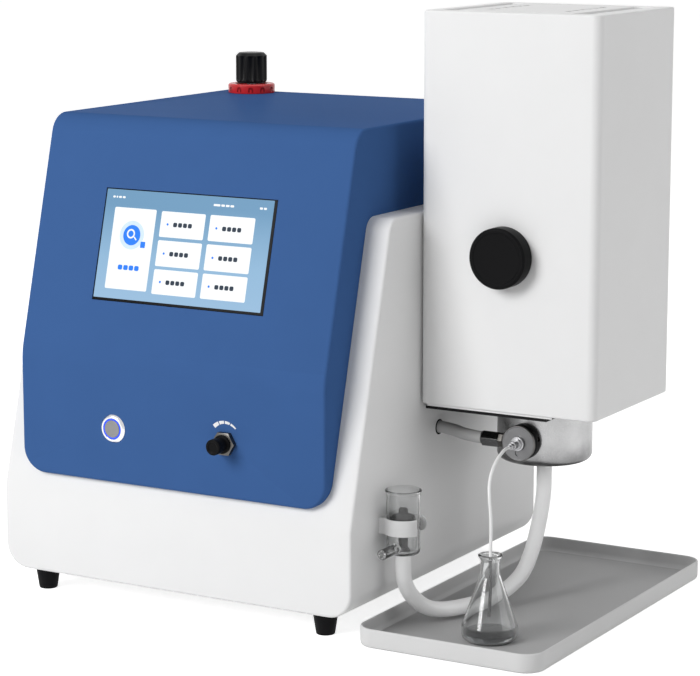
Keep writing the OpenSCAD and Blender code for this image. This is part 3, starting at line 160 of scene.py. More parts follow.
def tinted(tree, value, dark, light):
    """A colour between dark and light, chosen by a noise value."""
    ramp = add_node(tree, "ValToRGB", {"Fac": value})
    for stop, position, colour in zip(ramp.color_ramp.elements, (NOISE_LOW, NOISE_HIGH), (dark, light)):
        stop.position, stop.color = position, (*colour, 1)
    return ramp.outputs["Color"]


def shaded(colour, share):
    """The colour made lighter or darker by a share."""
    return tuple(min(1, c * share) for c in colour)


COLOUR_CLOUD_MM, COAT_ROUGHNESS = 40, 0.12


def surface(name, colour, roughness, grain_mm, depth_mm, coat=0.0, vary=0.03, specular=0.08):
    """A moulded, coated or cast surface: colour, gloss and grain all vary a little."""
    material, tree, shader = new_material(name)
    slow, fine = object_noise(tree, COLOUR_CLOUD_MM, 2), object_noise(tree, grain_mm)
    fill(shader, {"Base Color": tinted(tree, slow, shaded(colour, 1 - vary), shaded(colour, 1 + vary)),
                  "Roughness": spread(tree, fine, roughness * 0.92, min(1, roughness * 1.08)),
                  "Specular IOR Level": specular, "Coat Weight": coat, "Coat Roughness": COAT_ROUGHNESS})
    add_bump(tree, shader, fine, depth_mm)
    return material


# %% [markdown]
# ### Coated and moulded finishes
# Powder is sprayed dry and baked: it levels into a satin skin with peel about a millimetre across and a few
# hundredths deep. Mouldings copy the spark-eroded grain of their tool, which is finer and a little rougher.

# %% Powder coats, plastics and rubber
WHITE = (0.81, 0.81, 0.81)
BLUE = (0.047, 0.113, 0.290)
white_coat = surface("white_powder_coat", WHITE, 0.42, 1.1, 0.012, vary=0.006, specular=0.2)
blue_coat = surface("blue_powder_coat", BLUE, 0.40, 1.0, 0.014, vary=0.015, specular=0.0005)
black_satin = surface("black_satin_moulding", (0.006, 0.006, 0.0065), 0.38, 0.5, 0.01, specular=0.045)
black_ribbed = surface("black_ribbed_moulding", (0.006, 0.006, 0.0065), 0.32, 0.5, 0.01, specular=0.10)
black_matt = surface("black_matt_moulding", (0.006, 0.006, 0.0065), 0.55, 0.4, 0.012, specular=0.04)
rubber_black = surface("foot_rubber", (0.005, 0.005, 0.0055), 0.62, 0.6, 0.02)
red_gloss = surface("red_ring_moulding", (0.56, 0.016, 0.020), 0.24, 0.8, 0.006, specular=0.35)
# painted shade: a darker copy of the ring's red for the insides of its sunk arches
red_recess_painted_shade = surface("red_ring_recess_painted_shade", (0.26, 0.010, 0.014), 0.35, 0.8, 0.006)
clip_white = surface("clip_moulding", (0.74, 0.74, 0.74), 0.45, 0.6, 0.01)
tray_grey = surface("tray_moulding", (0.68, 0.68, 0.68), 0.40, 0.7, 0.01, vary=0.01)
# painted shade: darker copies of the tray's grey for its floor and inner walls, where shade falls inside it
tray_floor_painted_shade = surface("tray_floor_painted_shade", (0.43, 0.43, 0.432), 0.45, 0.8, 0.015, vary=0.015)
tray_wall_painted_shade = surface("tray_wall_painted_shade", (0.56, 0.56, 0.562), 0.42, 0.8, 0.012, vary=0.015)
hose_grey = surface("soft_hose", (0.96, 0.96, 0.96), 0.34, 0.8, 0.01, specular=0.4)
# painted shade: a darker copy of the hose plastic for the air hose, which lies in the chimney's shadow
air_hose_painted_shade = surface("stiff_air_hose_painted_shade", (0.50, 0.50, 0.50), 0.40, 0.8, 0.01, specular=0.2)
rocker_red = surface("rocker_moulding", (0.30, 0.02, 0.02), 0.35, 0.8, 0.006, specular=0.3)
capillary_white = surface("fine_capillary", (0.86, 0.86, 0.86), 0.3, 0.4, 0.004, specular=0.4)
# painted shade: a dark copy of the capillary colour for its part inside the flask
capillary_painted_shade = surface("capillary_in_flask_painted_shade", (0.10, 0.10, 0.10), 0.25, 0.4, 0.004, specular=0.2)
gasket_black = surface("gasket_foam", (0.012, 0.012, 0.012), 0.8, 0.5, 0.03)
inner_dark = surface("screen_module_case", (0.05, 0.05, 0.055), 0.5, 0.7, 0.01)
ceramic_cream = surface("glazed_ceramic", (0.72, 0.69, 0.60), 0.2, 2.0, 0.01, coat=0.4, specular=0.5)
board_green = surface("solder_mask", (0.02, 0.14, 0.07), 0.35, 1.2, 0.01)
tube_blue = surface("inner_tube", (0.03, 0.10, 0.35), 0.35, 0.8, 0.01)
print("materials so far:", len(bpy.data.materials))

# %% [markdown]
# ### Metals
# Turning leaves rings round the axis, and brushing leaves lines along one way. Both come from noise that is
# squeezed across the lines and long beside them, and it drives the roughness and a very shallow bump.


# %% Turned, brushed and plated metal
METAL_CLOUD_MM = 18


def metal(name, colour, roughness, stretch, grain_mm=0.5, depth_mm=0.004, vary=0.05):
    """Bare metal with fine lines: stretch is large across the lines and small along them."""
    material, tree, shader = new_material(name)
    lines, cloud = object_noise(tree, grain_mm, 4, stretch), object_noise(tree, METAL_CLOUD_MM, 2)
    fill(shader, {"Base Color": tinted(tree, cloud, shaded(colour, 1 - vary), shaded(colour, 1 + vary)),
                  "Roughness": spread(tree, lines, roughness * 0.75, roughness * 1.25), "Metallic": 1})
    add_bump(tree, shader, lines, depth_mm)
    return material


def painted_shade_by_height(material, low_z_mm, high_z_mm, share):
    """Darkens a metal's colour towards its lower edge, as painted shade."""
    tree = material.node_tree
    shader = tree.nodes["Principled BSDF"]
    colour = shader.inputs["Base Color"].links[0].from_socket
    parts = add_node(tree, "SeparateXYZ", {"Vector": add_node(tree, "TexCoord").outputs["Object"]})
    wobble = add_node(tree, "Math", {0: object_noise(tree, 11, 4), 1: 12 * MM, 2: parts.outputs["Z"]},
                      operation="MULTIPLY_ADD")
    rise = add_node(tree, "MapRange", {"Value": wobble.outputs[0], "From Min": low_z_mm * MM,
                                       "From Max": high_z_mm * MM, "To Min": share, "To Max": 1},
                    interpolation_type="SMOOTHSTEP")
    mix = add_node(tree, "Mix", {"Factor": 1}, data_type="RGBA", blend_type="MULTIPLY")
    fill(mix, {"A": colour, "B": rise.outputs["Result"]})
    fill(shader, {"Base Color": mix.outputs["Result"]})


bowl_steel = metal("satin_bowl_steel", (0.40, 0.40, 0.403), 0.32, (1, 1, 2), 0.7, 0.0015, 0.10)
# painted shade: the bowl's colour darkens towards its lower edge
painted_shade_by_height(bowl_steel, 122, 146, 0.38)
face_steel = metal("turned_face_steel", (0.17, 0.17, 0.173), 0.40, (1, 0.1, 1))
fitting_steel = metal("fitting_steel", (0.40, 0.40, 0.41), 0.3, (1, 1, 1))
nut_plate = metal("plated_nut", (0.105, 0.10, 0.094), 0.34, (1, 1, 1), 0.8)
block_metal = metal("blackened_block", (0.14, 0.14, 0.142), 0.3, (1, 1, 1), 0.6)
# painted shade: the bracket under the chimney is coloured near black for the shadow there
bracket_painted_shade = surface("bracket_sheet_painted_shade", (0.02, 0.02, 0.021), 0.6, 1.2, 0.01)
cap_steel = metal("button_cap_metal", (0.20, 0.20, 0.203), 0.45, (0.2, 1, 1.4))
bezel_steel = metal("button_bezel_metal", (0.66, 0.66, 0.68), 0.18, (1, 1, 1))
zinc_sheet = metal("zinc_sheet", (0.60, 0.61, 0.62), 0.32, (0.3, 1, 1), 1.5)
cast_alloy = metal("regulator_casting", (0.60, 0.60, 0.62), 0.45, (1, 1, 1), 1.2, 0.02)
machined_brass = metal("machined_brass", (0.62, 0.44, 0.18), 0.24, (1, 1, 0.2))
burner_steel = metal("burner_steel", (0.50, 0.48, 0.46), 0.36, (0.1, 0.1, 1))
print("materials so far:", len(bpy.data.materials))

# %% [markdown]
# ### Glass and light
# Laboratory glass is thick enough to bend light at its rims, so the cup and flask are solids with both an
# outer and an inner wall. Faint ripples from blowing keep the highlights alive. The button's ring glows.


# %% Glass, coloured glass and the lit ring
def glass(name, colour, ripple_mm=9.0, depth_mm=0.01):
    """Clear glass with faint ripples, which lets most of the light through to what stands behind it."""
    material, tree, shader = new_material(name)
    fill(shader, {"Base Color": (*colour, 1), "Roughness": 0, "IOR": 1.47, "Specular IOR Level": 0.15,
                  "Transmission Weight": 1})
    add_bump(tree, shader, object_noise(tree, ripple_mm, 1), depth_mm)
    passing = add_node(tree, "BsdfTransparent", {"Color": (*shaded(colour, 0.8), 1)})
    mix = add_node(tree, "MixShader", {"Fac": add_node(tree, "LightPath").outputs["Is Shadow Ray"],
                                       1: shader.outputs[0], 2: passing.outputs[0]})
    fill(tree.nodes["Material Output"], {"Surface": mix.outputs[0]})
    return material


def glowing(name, colour, strength):
    """A lit surface whose brightness wavers slightly, as a diffuser's does."""
    material, tree, shader = new_material(name)
    wave = object_noise(tree, 3.0, 1)
    fill(shader, {"Emission Color": tinted(tree, wave, shaded(colour, 0.94), colour),
                  "Base Color": (*shaded(colour, 0.25), 1), "Emission Strength": strength,
                  "Roughness": 0.3, "Specular IOR Level": 0.05})
    return material


lab_glass = glass("laboratory_glass", (0.80, 0.805, 0.805))
heat_glass = glass("flame_glass_tube", (0.97, 0.98, 0.98))
blue_window = glass("cobalt_window", (0.18, 0.28, 0.62))
amber_filter = glass("interference_filter", (0.85, 0.5, 0.12))
ring_light = glowing("button_ring_light", (0.05, 0.11, 1.0), 1.1)
print("materials so far:", len(bpy.data.materials))

# %% [markdown]
# ## Shapes
# Three ways of making things cover nearly every piece. Turned parts are a profile spun round an axis.
# Sheet metal and moulded boxes are outlines with rounded corners, drawn out to a depth. Trays and rims are
# lofted through a stack of outlines. Outline corners are arcs, so each radius is a real one.


# %% Outlines with rounded corners
def corner_arc(before, corner, after, radius, steps):
    """Points of the arc that rounds one corner of an outline."""
    back, ahead = (before - corner).normalized(), (after - corner).normalized()
    half = back.angle(ahead) / 2
    centre = corner + (back + ahead).normalized() * (radius / sin(half))
    first = corner + back * (radius / tan(half)) - centre
    last = corner + ahead * (radius / tan(half)) - centre
    start, turn = atan2(first.y, first.x), atan2(last.y, last.x) - atan2(first.y, first.x)
    turn = turn - 2 * pi if turn > pi else turn + 2 * pi if turn < -pi else turn
    return [centre + Vector((cos(start + turn * i / steps), sin(start + turn * i / steps))) * radius
            for i in range(steps + 1)]


def rounded(corners, steps=10):
    """An outline through corners given as (x, y, radius)."""
    flat = [Vector(c[:2]) for c in corners]
    outline = []
    for i, corner in enumerate(corners):
        if corner[2] > 0:
            outline += corner_arc(flat[i - 1], flat[i], flat[(i + 1) % len(flat)], corner[2], steps)
        else:
            outline.append(flat[i])
    return outline


def box_outline(low, high, radius, steps=10):
    """A rectangle with four equal corner radii."""
    return rounded([(low[0], low[1], radius), (high[0], low[1], radius),
                    (high[0], high[1], radius), (low[0], high[1], radius)], steps)


# %% Meshes from millimetres
MAIN_BODY = "instrument"


def make(name, points, faces, material, body=MAIN_BODY, slot=None, replaces=(), smooth_below=35):
    """A mesh object from points in millimetres; it rides on a body and stands for the nodes it replaces."""
    mesh = bpy.data.meshes.new(name)
    mesh.from_pydata([tuple(place(*p)) for p in points], [], faces)
    mesh.validate()
    thing = bpy.data.objects.new(name, mesh)
    bpy.context.scene.collection.objects.link(thing)
    tidy_faces(thing)
    soften(thing, smooth_below)
    mesh.materials.append(material)
    if body:
        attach(thing, body)
    if replaces:
        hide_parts(*replaces)
    return thing


def tidy_faces(thing):
    """Points every face outward and drops doubled corners."""
    work = bmesh.new()
    work.from_mesh(thing.data)
    bmesh.ops.remove_doubles(work, verts=work.verts, dist=1e-7)
    bmesh.ops.recalc_face_normals(work, faces=work.faces)
    work.to_mesh(thing.data)
    work.free()


def soften(thing, smooth_below=35):
    """Shades smooth across edges that bend by less than smooth_below degrees."""
    for face in thing.data.polygons:
        face.use_smooth = True
    thing.data.set_sharp_from_angle(angle=radians(smooth_below))


def apply_modifiers(thing):
    """Turns a thing's modifiers into its mesh."""
    bpy.context.view_layer.update()
    final = bpy.data.meshes.new_from_object(thing.evaluated_get(bpy.context.evaluated_depsgraph_get()))
    thing.modifiers.clear()
    old, thing.data = thing.data, final
    bpy.data.meshes.remove(old)


def cut(thing, cutters, operation="DIFFERENCE"):
    """Cuts a thing with solids, which are used up; INTERSECT and UNION work the same way."""
    for cutter in cutters:
        tool = thing.modifiers.new("cut", "BOOLEAN")
        tool.operation, tool.object, tool.solver = operation, cutter, "EXACT"
    apply_modifiers(thing)
    for cutter in cutters:
        bpy.data.objects.remove(cutter)
    soften(thing)
    return thing


def round_edges(thing, width_mm, segments=3, above=30):
    """Rounds every edge that bends by more than the given degrees, and keeps flat faces flat."""
    bevel = thing.modifiers.new("round", "BEVEL")
    bevel.width, bevel.segments = width_mm * MM, segments
    bevel.limit_method, bevel.angle_limit = "ANGLE", radians(above)
    bevel.use_clamp_overlap = True
    apply_modifiers(thing)
    soften(thing, 50)
    weigh = thing.modifiers.new("weigh", "WEIGHTED_NORMAL")
    weigh.keep_sharp = True
    apply_modifiers(thing)
    return thing


# %% Solids drawn out, turned and lofted
def loose(points, faces, material):
    """A solid that rides on nothing, because cut() uses it up."""
    return make("cutter", points, faces, material, body=None)


def drawn(outline, start, end, lay="XY"):
    """Points and faces of an outline drawn out from start to end; lay names the outline's two axes."""
    def lift(p, d):
        return {"XY": (p[0], p[1], d), "YZ": (d, p[0], p[1]), "XZ": (p[0], d, p[1])}[lay]
    n = len(outline)
    points = [lift(p, start) for p in outline] + [lift(p, end) for p in outline]
    faces = [list(range(n))[::-1], list(range(n, 2 * n))]
    faces += [[i, (i + 1) % n, n + (i + 1) % n, n + i] for i in range(n)]
    return points, faces


def solid(outline, start, end, lay="XY"):
    """A loose cutting solid, used up by cut()."""
    return loose(*drawn(outline, start, end, lay), black_satin)


def extruded(name, outline, start, end, lay, material, **rest):
    """A piece drawn out of an outline."""
    return make(name, *drawn(outline, start, end, lay), material, **rest)


def cuboid(low, high):
    """A loose cutting block between two corners."""
    return solid(box_outline(low, high, 0), low[2], high[2])


AXES = {"X": Matrix(((0, 0, 1), (1, 0, 0), (0, 1, 0))), "Y": Matrix(((0, 1, 0), (0, 0, 1), (1, 0, 0))),
        "Z": Matrix.Identity(3)}


def turned(profile, centre, axis="Z", steps=96):
    """Points and faces of a closed profile of (radius, height) spun round an axis through centre."""
    turn = AXES[axis]
    points, rings = [], []
    for radius, height in profile:
        if radius < 1e-6:
            rings.append([len(points)] * steps)
            points.append(Vector(centre) + turn @ Vector((0, 0, height)))
            continue
        rings.append(list(range(len(points), len(points) + steps)))
        around = (2 * pi * k / steps for k in range(steps))
        points += [Vector(centre) + turn @ Vector((radius * cos(a), radius * sin(a), height)) for a in around]
    faces = []
    for lower, upper in zip(rings, rings[1:] + rings[:1]):
        for k in range(steps):
            face = [lower[k], lower[(k + 1) % steps], upper[(k + 1) % steps], upper[k]]
            face = [v for i, v in enumerate(face) if v != face[i - 1]]
            if len(face) > 2:
                faces.append(face)
    return points, faces


def rod(radius, low, high, centre, axis, steps=64):
    """A loose round cutting rod."""
    return loose(*turned([(0, low), (radius, low), (radius, high), (0, high)], centre, axis, steps), white_coat)


def hexagon(centre, corner_r):
    """The corners of a hexagon, the first of them level with its centre."""
    return [(centre[0] + corner_r * cos(pi / 3 * k), centre[1] + corner_r * sin(pi / 3 * k)) for k in range(6)]


def finish_shell(shell, name, material):
    """Names a cut shell and gives it one finish in place of its cutters'."""
    shell.name = name
    shell.data.materials.clear()
    shell.data.materials.append(material)
    print(name, "faces:", len(shell.data.polygons))


def lofted(loops):
    """Points and faces through a stack of loops with equal counts, with its first and last loops closed."""
    n = len(loops[0])
    points = [p for loop in loops for p in loop]
    faces = [list(range(n))[::-1], list(range((len(loops) - 1) * n, len(loops) * n))]
    for i in range(len(loops) - 1):
        faces += [[i * n + k, i * n + (k + 1) % n, (i + 1) * n + (k + 1) % n, (i + 1) * n + k] for k in range(n)]
    return points, faces


def tube(centres, radius, sides, aside):
    """Points and faces of a closed tube along centres."""
    centres = [Vector(c) for c in centres]
    points, last = [], len(centres) - 1
    for i, centre in enumerate(centres):
        ahead = (centres[min(i + 1, last)] - centres[max(i - 1, 0)]).normalized()
        across = ahead.cross(Vector(aside)).normalized()
        up = across.cross(ahead)
        points += [centre + radius * (cos(2 * pi * k / sides) * across + sin(2 * pi * k / sides) * up)
                   for k in range(sides)]
    faces = [[i * sides + k, i * sides + (k + 1) % sides, (i + 1) * sides + (k + 1) % sides, (i + 1) * sides + k]
             for i in range(last) for k in range(sides)]
    faces += [list(range(sides))[::-1], list(range(last * sides, (last + 1) * sides))]
    return points, faces


def smooth_route(route, steps):
    """A smooth line through given points, with steps pieces between each pair."""
    route, line = [Vector(p) for p in route], []
    for i in range(len(route) - 1):
        a, b, c, d = (route[max(0, min(len(route) - 1, i + k))] for k in (-1, 0, 1, 2))
        for k in range(steps):
            t = k / steps
            line.append(0.5 * (2 * b + (c - a) * t + (2 * a - 5 * b + 4 * c - d) * t * t
                               + (3 * b - a - 3 * c + d) * t ** 3))
    return line + [route[-1]]


# %% [markdown]
# ## The drain hose
# Spray that misses the flame runs down the chamber wall into a soft hose. It hangs in a deep U, which
# stays full of liquid and so keeps the burner gas from escaping, and rises again into the glass cup. The
# hose is soft silicone, so it is a round tube along a line that sags in the tray and climbs to the cup.

# %% Drain hose
DRAIN_ROUTE = [(74, 174, 114), (74, 174, 104), (74, 173, 88), (72, 169.5, 66), (69, 163, 44), (65, 154.5, 28),
               (58, 141, 17.5), (50, 124, 12.5), (41, 104.5, 11), (32, 85, 12), (25, 70, 17), (19.5, 58.5, 28),
               (16.6, 52.5, 40), (16, 51.5, 52), (16, 51.5, 62)]
DRAIN_R = 6.0
drain_line = smooth_route(DRAIN_ROUTE, 8)
drain_hose = make("drain_hose_tube", *tube(drain_line, DRAIN_R, 40, (0.9, -0.43, 0)), hose_grey,
                  slot="hose_plastic", replaces=["drain_hose"], smooth_below=60)

# %% [markdown]
# ## The sample capillary
# A fine plastic capillary carries the sample from the flask to the nebulizer, which sucks it up. It leaves
# the fitting level, bends over its own stiffness and drops almost straight into the flask's neck.

# %% Capillary
CAPILLARY_ROUTE = [(75.5, 108, 139), (75.5, 104, 139), (76.2, 97, 138.1), (77.2, 86, 134.4), (78.8, 74.5, 128.4),
                   (80.9, 66, 120), (83, 62.3, 109.5), (84.8, 60.9, 98), (85.7, 59.8, 86), (85.9, 59.1, 74),
                   (85.9, 58.95, 62), (85.9, 58.95, 50), (85.5, 59.6, 38), (84.8, 60.3, 28), (84, 60.8, 20)]
CAPILLARY_R = 1.25
capillary_line = smooth_route(CAPILLARY_ROUTE, 8)
capillary = make("capillary_tube", *tube(capillary_line, CAPILLARY_R, 20, (0.98, 0.19, 0)), capillary_white,
                 slot="capillary_plastic", replaces=["capillary"], smooth_below=60)
# below this height, inside the flask, the capillary takes the dark colour as painted shade
PAINTED_SHADE_BELOW = 66
capillary.data.materials.append(capillary_painted_shade)
for face in capillary.data.polygons:
    face.material_index = 1 if face.center.z < PAINTED_SHADE_BELOW * MM else 0

# %% [markdown]
# ## The white housing
# The cabinet is bent from 2 mm sheet. Seen from the side its front stands upright for a hand's breadth and
# then leans back, and seen from the front its lower edges are rolled to a wide radius. A solid that has both
# outlines is found by drawing each one out and keeping what they share. Its edges are rounded before it is
# hollowed, because that is how bent and welded sheet looks: soft outside, with an even wall.

# %% The housing's two outlines
LEAN = radians(15)
FRONT_BREAK = 86
SHEET = 2
BOTTOM_R = 20
SHOULDER_R = 12
(WIDE_LOW, _, BODY_LOW), (_, BODY_DEEP, BODY_TOP) = box_mm("lower_housing")


def housing_front(z):
    """Depth of the housing's front at height z."""
    return max(0, (z - FRONT_BREAK) * tan(LEAN))


def housing_solid(inset, rear):
    """The housing's full form, moved in by inset."""
    side = rounded([(inset, BODY_LOW + inset, 0), (inset, FRONT_BREAK - inset * tan(LEAN / 2), 0),
                    (housing_front(BODY_TOP - inset) + inset / cos(LEAN), BODY_TOP - inset, SHOULDER_R - inset),
                    (rear, BODY_TOP - inset, 0), (rear, BODY_LOW + inset, 0)], 12)
    corner = BOTTOM_R - inset
    front = rounded([(WIDE_LOW + inset, BODY_LOW + inset, corner), (-inset, BODY_LOW + inset, corner),
                     (-inset, BODY_TOP - inset, 0), (WIDE_LOW + inset, BODY_TOP - inset, 0)], 14)
    form = solid(side, WIDE_LOW + inset - 1, 1 - inset, "YZ")
    return cut(form, [solid(front, -1, rear + 1, "XZ")], "INTERSECT")


# %% Housing shell
SEAT_LIP = 8
REAR_LIP = 5.5
EDGE_R = 2.2
(COVER_LEFT, _, COVER_LOW), (COVER_RIGHT, COVER_REAR, COVER_TOP) = box_mm("top_cover")
shell = housing_solid(0, BODY_DEEP)
round_edges(shell, EDGE_R, 4)
BURNER_Y = 174
BEAM, GAS_LINE, AIR_LINE = (BURNER_Y, 285, 15.2), (BURNER_Y, 178, 4.0), (138, 141.5, 6.0)


def side_rods(holes, low, high, steps=64):
    """Loose rods that cut round holes in the right side, each given as (depth, height, radius)."""
    return [rod(r, low, high, (0, y, z), "X", steps) for y, z, r in holes]


cut(shell, [housing_solid(SHEET, BODY_DEEP + 3),
            cuboid((COVER_LEFT + SEAT_LIP, -5, COVER_LOW + SEAT_LIP),
                   (COVER_RIGHT - SEAT_LIP, BODY_DEEP - REAR_LIP, BODY_TOP + 5)),
            *side_rods((BEAM, GAS_LINE, AIR_LINE), -12, 12, 48)])
finish_shell(shell, "housing_shell", white_coat)
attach(shell, MAIN_BODY)
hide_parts("lower_housing")

# %% [markdown]
# ## The blue cover
# The cover is a second skin that drops over the white housing and seats on its sloping shoulders. Its
# front stands upright at the controls, bends softly and leans back with the screen, then rolls over a
# wide edge into the flat top. It is built as the housing is, and the housing's own form is cut away from
# it, so that the joint line follows the housing exactly.

# %% Cover form
COVER_FACE = -2
COVER_BEND = 196.5
COVER_BEND_R = 60
COVER_TOP_R = 18
COVER_CORNER_R = 20
COVER_REAR_R = 4
BEHIND = 30  # how far the cover's form reaches into the housing


def cover_front(z):
    """Depth of the cover's front at height z."""
    return COVER_FACE + max(0, (z - COVER_BEND) * tan(LEAN))


def cover_solid(inset):
    """The cover's full form, moved in by inset; its inner side lies inside the housing."""
    side = rounded([
        (COVER_FACE + inset, COVER_LOW + inset, 0),
        (COVER_FACE + inset, COVER_BEND - inset * tan(LEAN / 2), COVER_BEND_R),
        (cover_front(COVER_TOP - inset) + inset / cos(LEAN), COVER_TOP - inset, COVER_TOP_R - inset),
        (COVER_REAR - inset, COVER_TOP - inset, COVER_REAR_R - inset),
        (COVER_REAR - inset, BODY_TOP - BEHIND, 0),
        (housing_front(BODY_TOP) + BEHIND, BODY_TOP - BEHIND, 0),
        (housing_front(COVER_LOW) + BEHIND, COVER_LOW + inset, 0)], 14)
    corner = COVER_CORNER_R - inset
    front = rounded([(COVER_LEFT + inset, COVER_LOW + inset, corner),
                     (COVER_RIGHT - inset, COVER_LOW + inset, corner),
                     (COVER_RIGHT - inset, COVER_TOP - inset, 0), (COVER_LEFT + inset, COVER_TOP - inset, 0)], 14)
    form = solid(side, COVER_LEFT + inset - 1, COVER_RIGHT - inset + 1, "YZ")
    return cut(form, [solid(front, COVER_FACE - 1, COVER_REAR + 1, "XZ")], "INTERSECT")


# %% Places on the cover
DISPLAY_W, DISPLAY_H, DISPLAY_RISE = 156, 87.6, 46.2
SLOPE_MIDDLE = (COVER_LEFT + COVER_RIGHT) / 2
BUTTON, BUTTON_HOLE_R = (-211, 143.3), 9.7
VALVE, VALVE_HOLE_R = (-108, 143.3), 5.2
REGULATOR, REGULATOR_HOLE_R = (-263.3, 285.4), 14.2


def on_slope(across, inward, up):
    """A point on the cover's slope: across its width, into the housing and up the slope from the bend."""
    return (SLOPE_MIDDLE + across, COVER_FACE + inward * cos(LEAN) + up * sin(LEAN),
            COVER_BEND - inward * sin(LEAN) + up * cos(LEAN))


def slope_block(low, high):
    """Points and faces of a block whose sides follow the slope."""
    corners = [on_slope(x, y, z) for y in (low[1], high[1])
               for x, z in ((low[0], low[2]), (high[0], low[2]), (high[0], high[2]), (low[0], high[2]))]
    return corners, [[0, 1, 2, 3], [7, 6, 5, 4], [0, 4, 5, 1], [1, 5, 6, 2], [2, 6, 7, 3], [3, 7, 4, 0]]


# %% Cover shell
cover = cover_solid(0)
round_edges(cover, 2.4, 4)
WINDOW_GAP = 0.2
window = loose(*slope_block((-DISPLAY_W / 2 - WINDOW_GAP, -3, DISPLAY_RISE - WINDOW_GAP),
                            (DISPLAY_W / 2 + WINDOW_GAP, 5, DISPLAY_RISE + DISPLAY_H + WINDOW_GAP)), white_coat)
cut(cover, [housing_solid(0, BODY_DEEP), cover_solid(SHEET), window,
            rod(BUTTON_HOLE_R, -6, 4, (BUTTON[0], 0, BUTTON[1]), "Y"),
            rod(VALVE_HOLE_R, -6, 4, (VALVE[0], 0, VALVE[1]), "Y"),
            rod(REGULATOR_HOLE_R, -8, 4, (*REGULATOR, COVER_TOP), "Z")])
finish_shell(cover, "cover_shell", blue_coat)
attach(cover, MAIN_BODY)
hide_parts("top_cover")

# %% [markdown]
# ## Studio light
# The picture is a product shot on white: a broad key light from the front left, a weaker fill, and a
# surround that the eye reads as white. The surround is bright for the camera and in reflections only, so
# it does not add light to the object. The floor is white in the same way, darker only where it is shaded.

# %% Surround, floor and lamps
AMBIENT, FLOOR_LIFT = 0.24, 0.76


def any_ray(tree):
    """One for camera, glossy and transmission rays, and zero for light that reaches matt surfaces."""
    path = add_node(tree, "LightPath").outputs
    first = add_node(tree, "Math", {0: path["Is Camera Ray"], 1: path["Is Glossy Ray"]}, operation="MAXIMUM")
    return add_node(tree, "Math", {0: first.outputs[0], 1: path["Is Transmission Ray"]},
                    operation="MAXIMUM").outputs[0]


def white_surround():
    """A world that the camera, metal and glass see as white, and that lights the object softly."""
    world = bpy.data.worlds.new("white_surround")
    world.use_nodes = True
    tree = world.node_tree
    background = tree.nodes["Background"]
    fill(background, {"Color": (1, 1, 1, 1), "Strength": AMBIENT})
    seen = add_node(tree, "Background", {"Color": (1, 1, 1, 1), "Strength": 1})
    mix = add_node(tree, "MixShader", {"Fac": any_ray(tree), 1: background.outputs[0], 2: seen.outputs[0]})
    fill(tree.nodes["World Output"], {"Surface": mix.outputs[0]})
    bpy.context.scene.world = world


def pale_floor(half_mm):
    """A floor that keeps the object's shadow and is lifted to white where the camera sees it."""
    half = half_mm * MM
    mesh = bpy.data.meshes.new("studio_floor")
    mesh.from_pydata([(-half, -half, 0), (half, -half, 0), (half, half, 0), (-half, half, 0)], [], [(0, 1, 2, 3)])
    floor = bpy.data.objects.new("studio_floor", mesh)
    bpy.context.scene.collection.objects.link(floor)
    material, tree, shader = new_material("pale_floor")
    fill(shader, {"Base Color": (0.86, 0.86, 0.86, 1), "Roughness": 0.7, "Specular IOR Level": 0.1})
    glow = add_node(tree, "Emission", {"Color": any_ray(tree), "Strength": FLOOR_LIFT})
    both = add_node(tree, "AddShader", {0: shader.outputs[0], 1: glow.outputs[0]})
    fill(tree.nodes["Material Output"], {"Surface": both.outputs[0]})
    mesh.materials.append(material)


OBJECT_MIDDLE = (-84, 157, 200)


def soft_lamp(name, place_mm, size_mm, watts):
    """A square softbox that looks at the middle of the object."""
    data = bpy.data.lights.new(name, "AREA")
    data.size, data.energy = size_mm * MM, watts
    lamp = bpy.data.objects.new(name, data)
    lamp.location = place(*place_mm)
    lamp.rotation_euler = (place(*OBJECT_MIDDLE) - lamp.location).to_track_quat("-Z", "Y").to_euler()
    bpy.context.scene.collection.objects.link(lamp)


white_surround()
pale_floor(20000)
soft_lamp("key_softbox", (-900, -1900, 1300), 1200, 43)
soft_lamp("fill_softbox", (1700, 500, 800), 1400, 9)
soft_lamp("top_softbox", (-200, 500, 2100), 1400, 8)
bpy.context.scene.view_settings.view_transform = "Standard"
print("lamps:", [lamp.name for lamp in bpy.data.lights])

# %% [markdown]
# ## The touch screen
# A cover glass lies flush in the slope. Under it is a black border that hides the panel's edge, and inside
# the border the lit picture. The picture is drawn as thin glowing tiles a hair above the glass: a pale sky
# that deepens to the top, one large tile and six small ones. Plain bars and dots on them make a simple menu.

# %% Screen finishes
SKY_LOW, SKY_MIDDLE, SKY_HIGH = (0.34, 0.54, 0.76, 1), (0.29, 0.50, 0.72, 1), (0.15, 0.33, 0.53, 1)


def sky():
    """A lit gradient along the slope, from pale blue below to a deeper blue at the top."""
    material, tree, shader = new_material("screen_sky")
    parts = add_node(tree, "SeparateXYZ", {"Vector": add_node(tree, "TexCoord").outputs["Generated"]})
    clouded = add_node(tree, "Math", {0: object_noise(tree, 60, 2), 1: 0.25, 2: parts.outputs["Z"]},
                       operation="MULTIPLY_ADD")
    ramp = add_node(tree, "ValToRGB", {"Fac": clouded.outputs[0]})
    stops = ramp.color_ramp.elements
    stops[0].color, stops[1].color = SKY_LOW, SKY_HIGH
    stops.new(0.5).color = SKY_MIDDLE
    fill(shader, {"Emission Color": ramp.outputs["Color"], "Base Color": (0.02, 0.03, 0.04, 1),
                  "Emission Strength": 0.9, "Roughness": 0.35, "Specular IOR Level": 0.1})
    return material


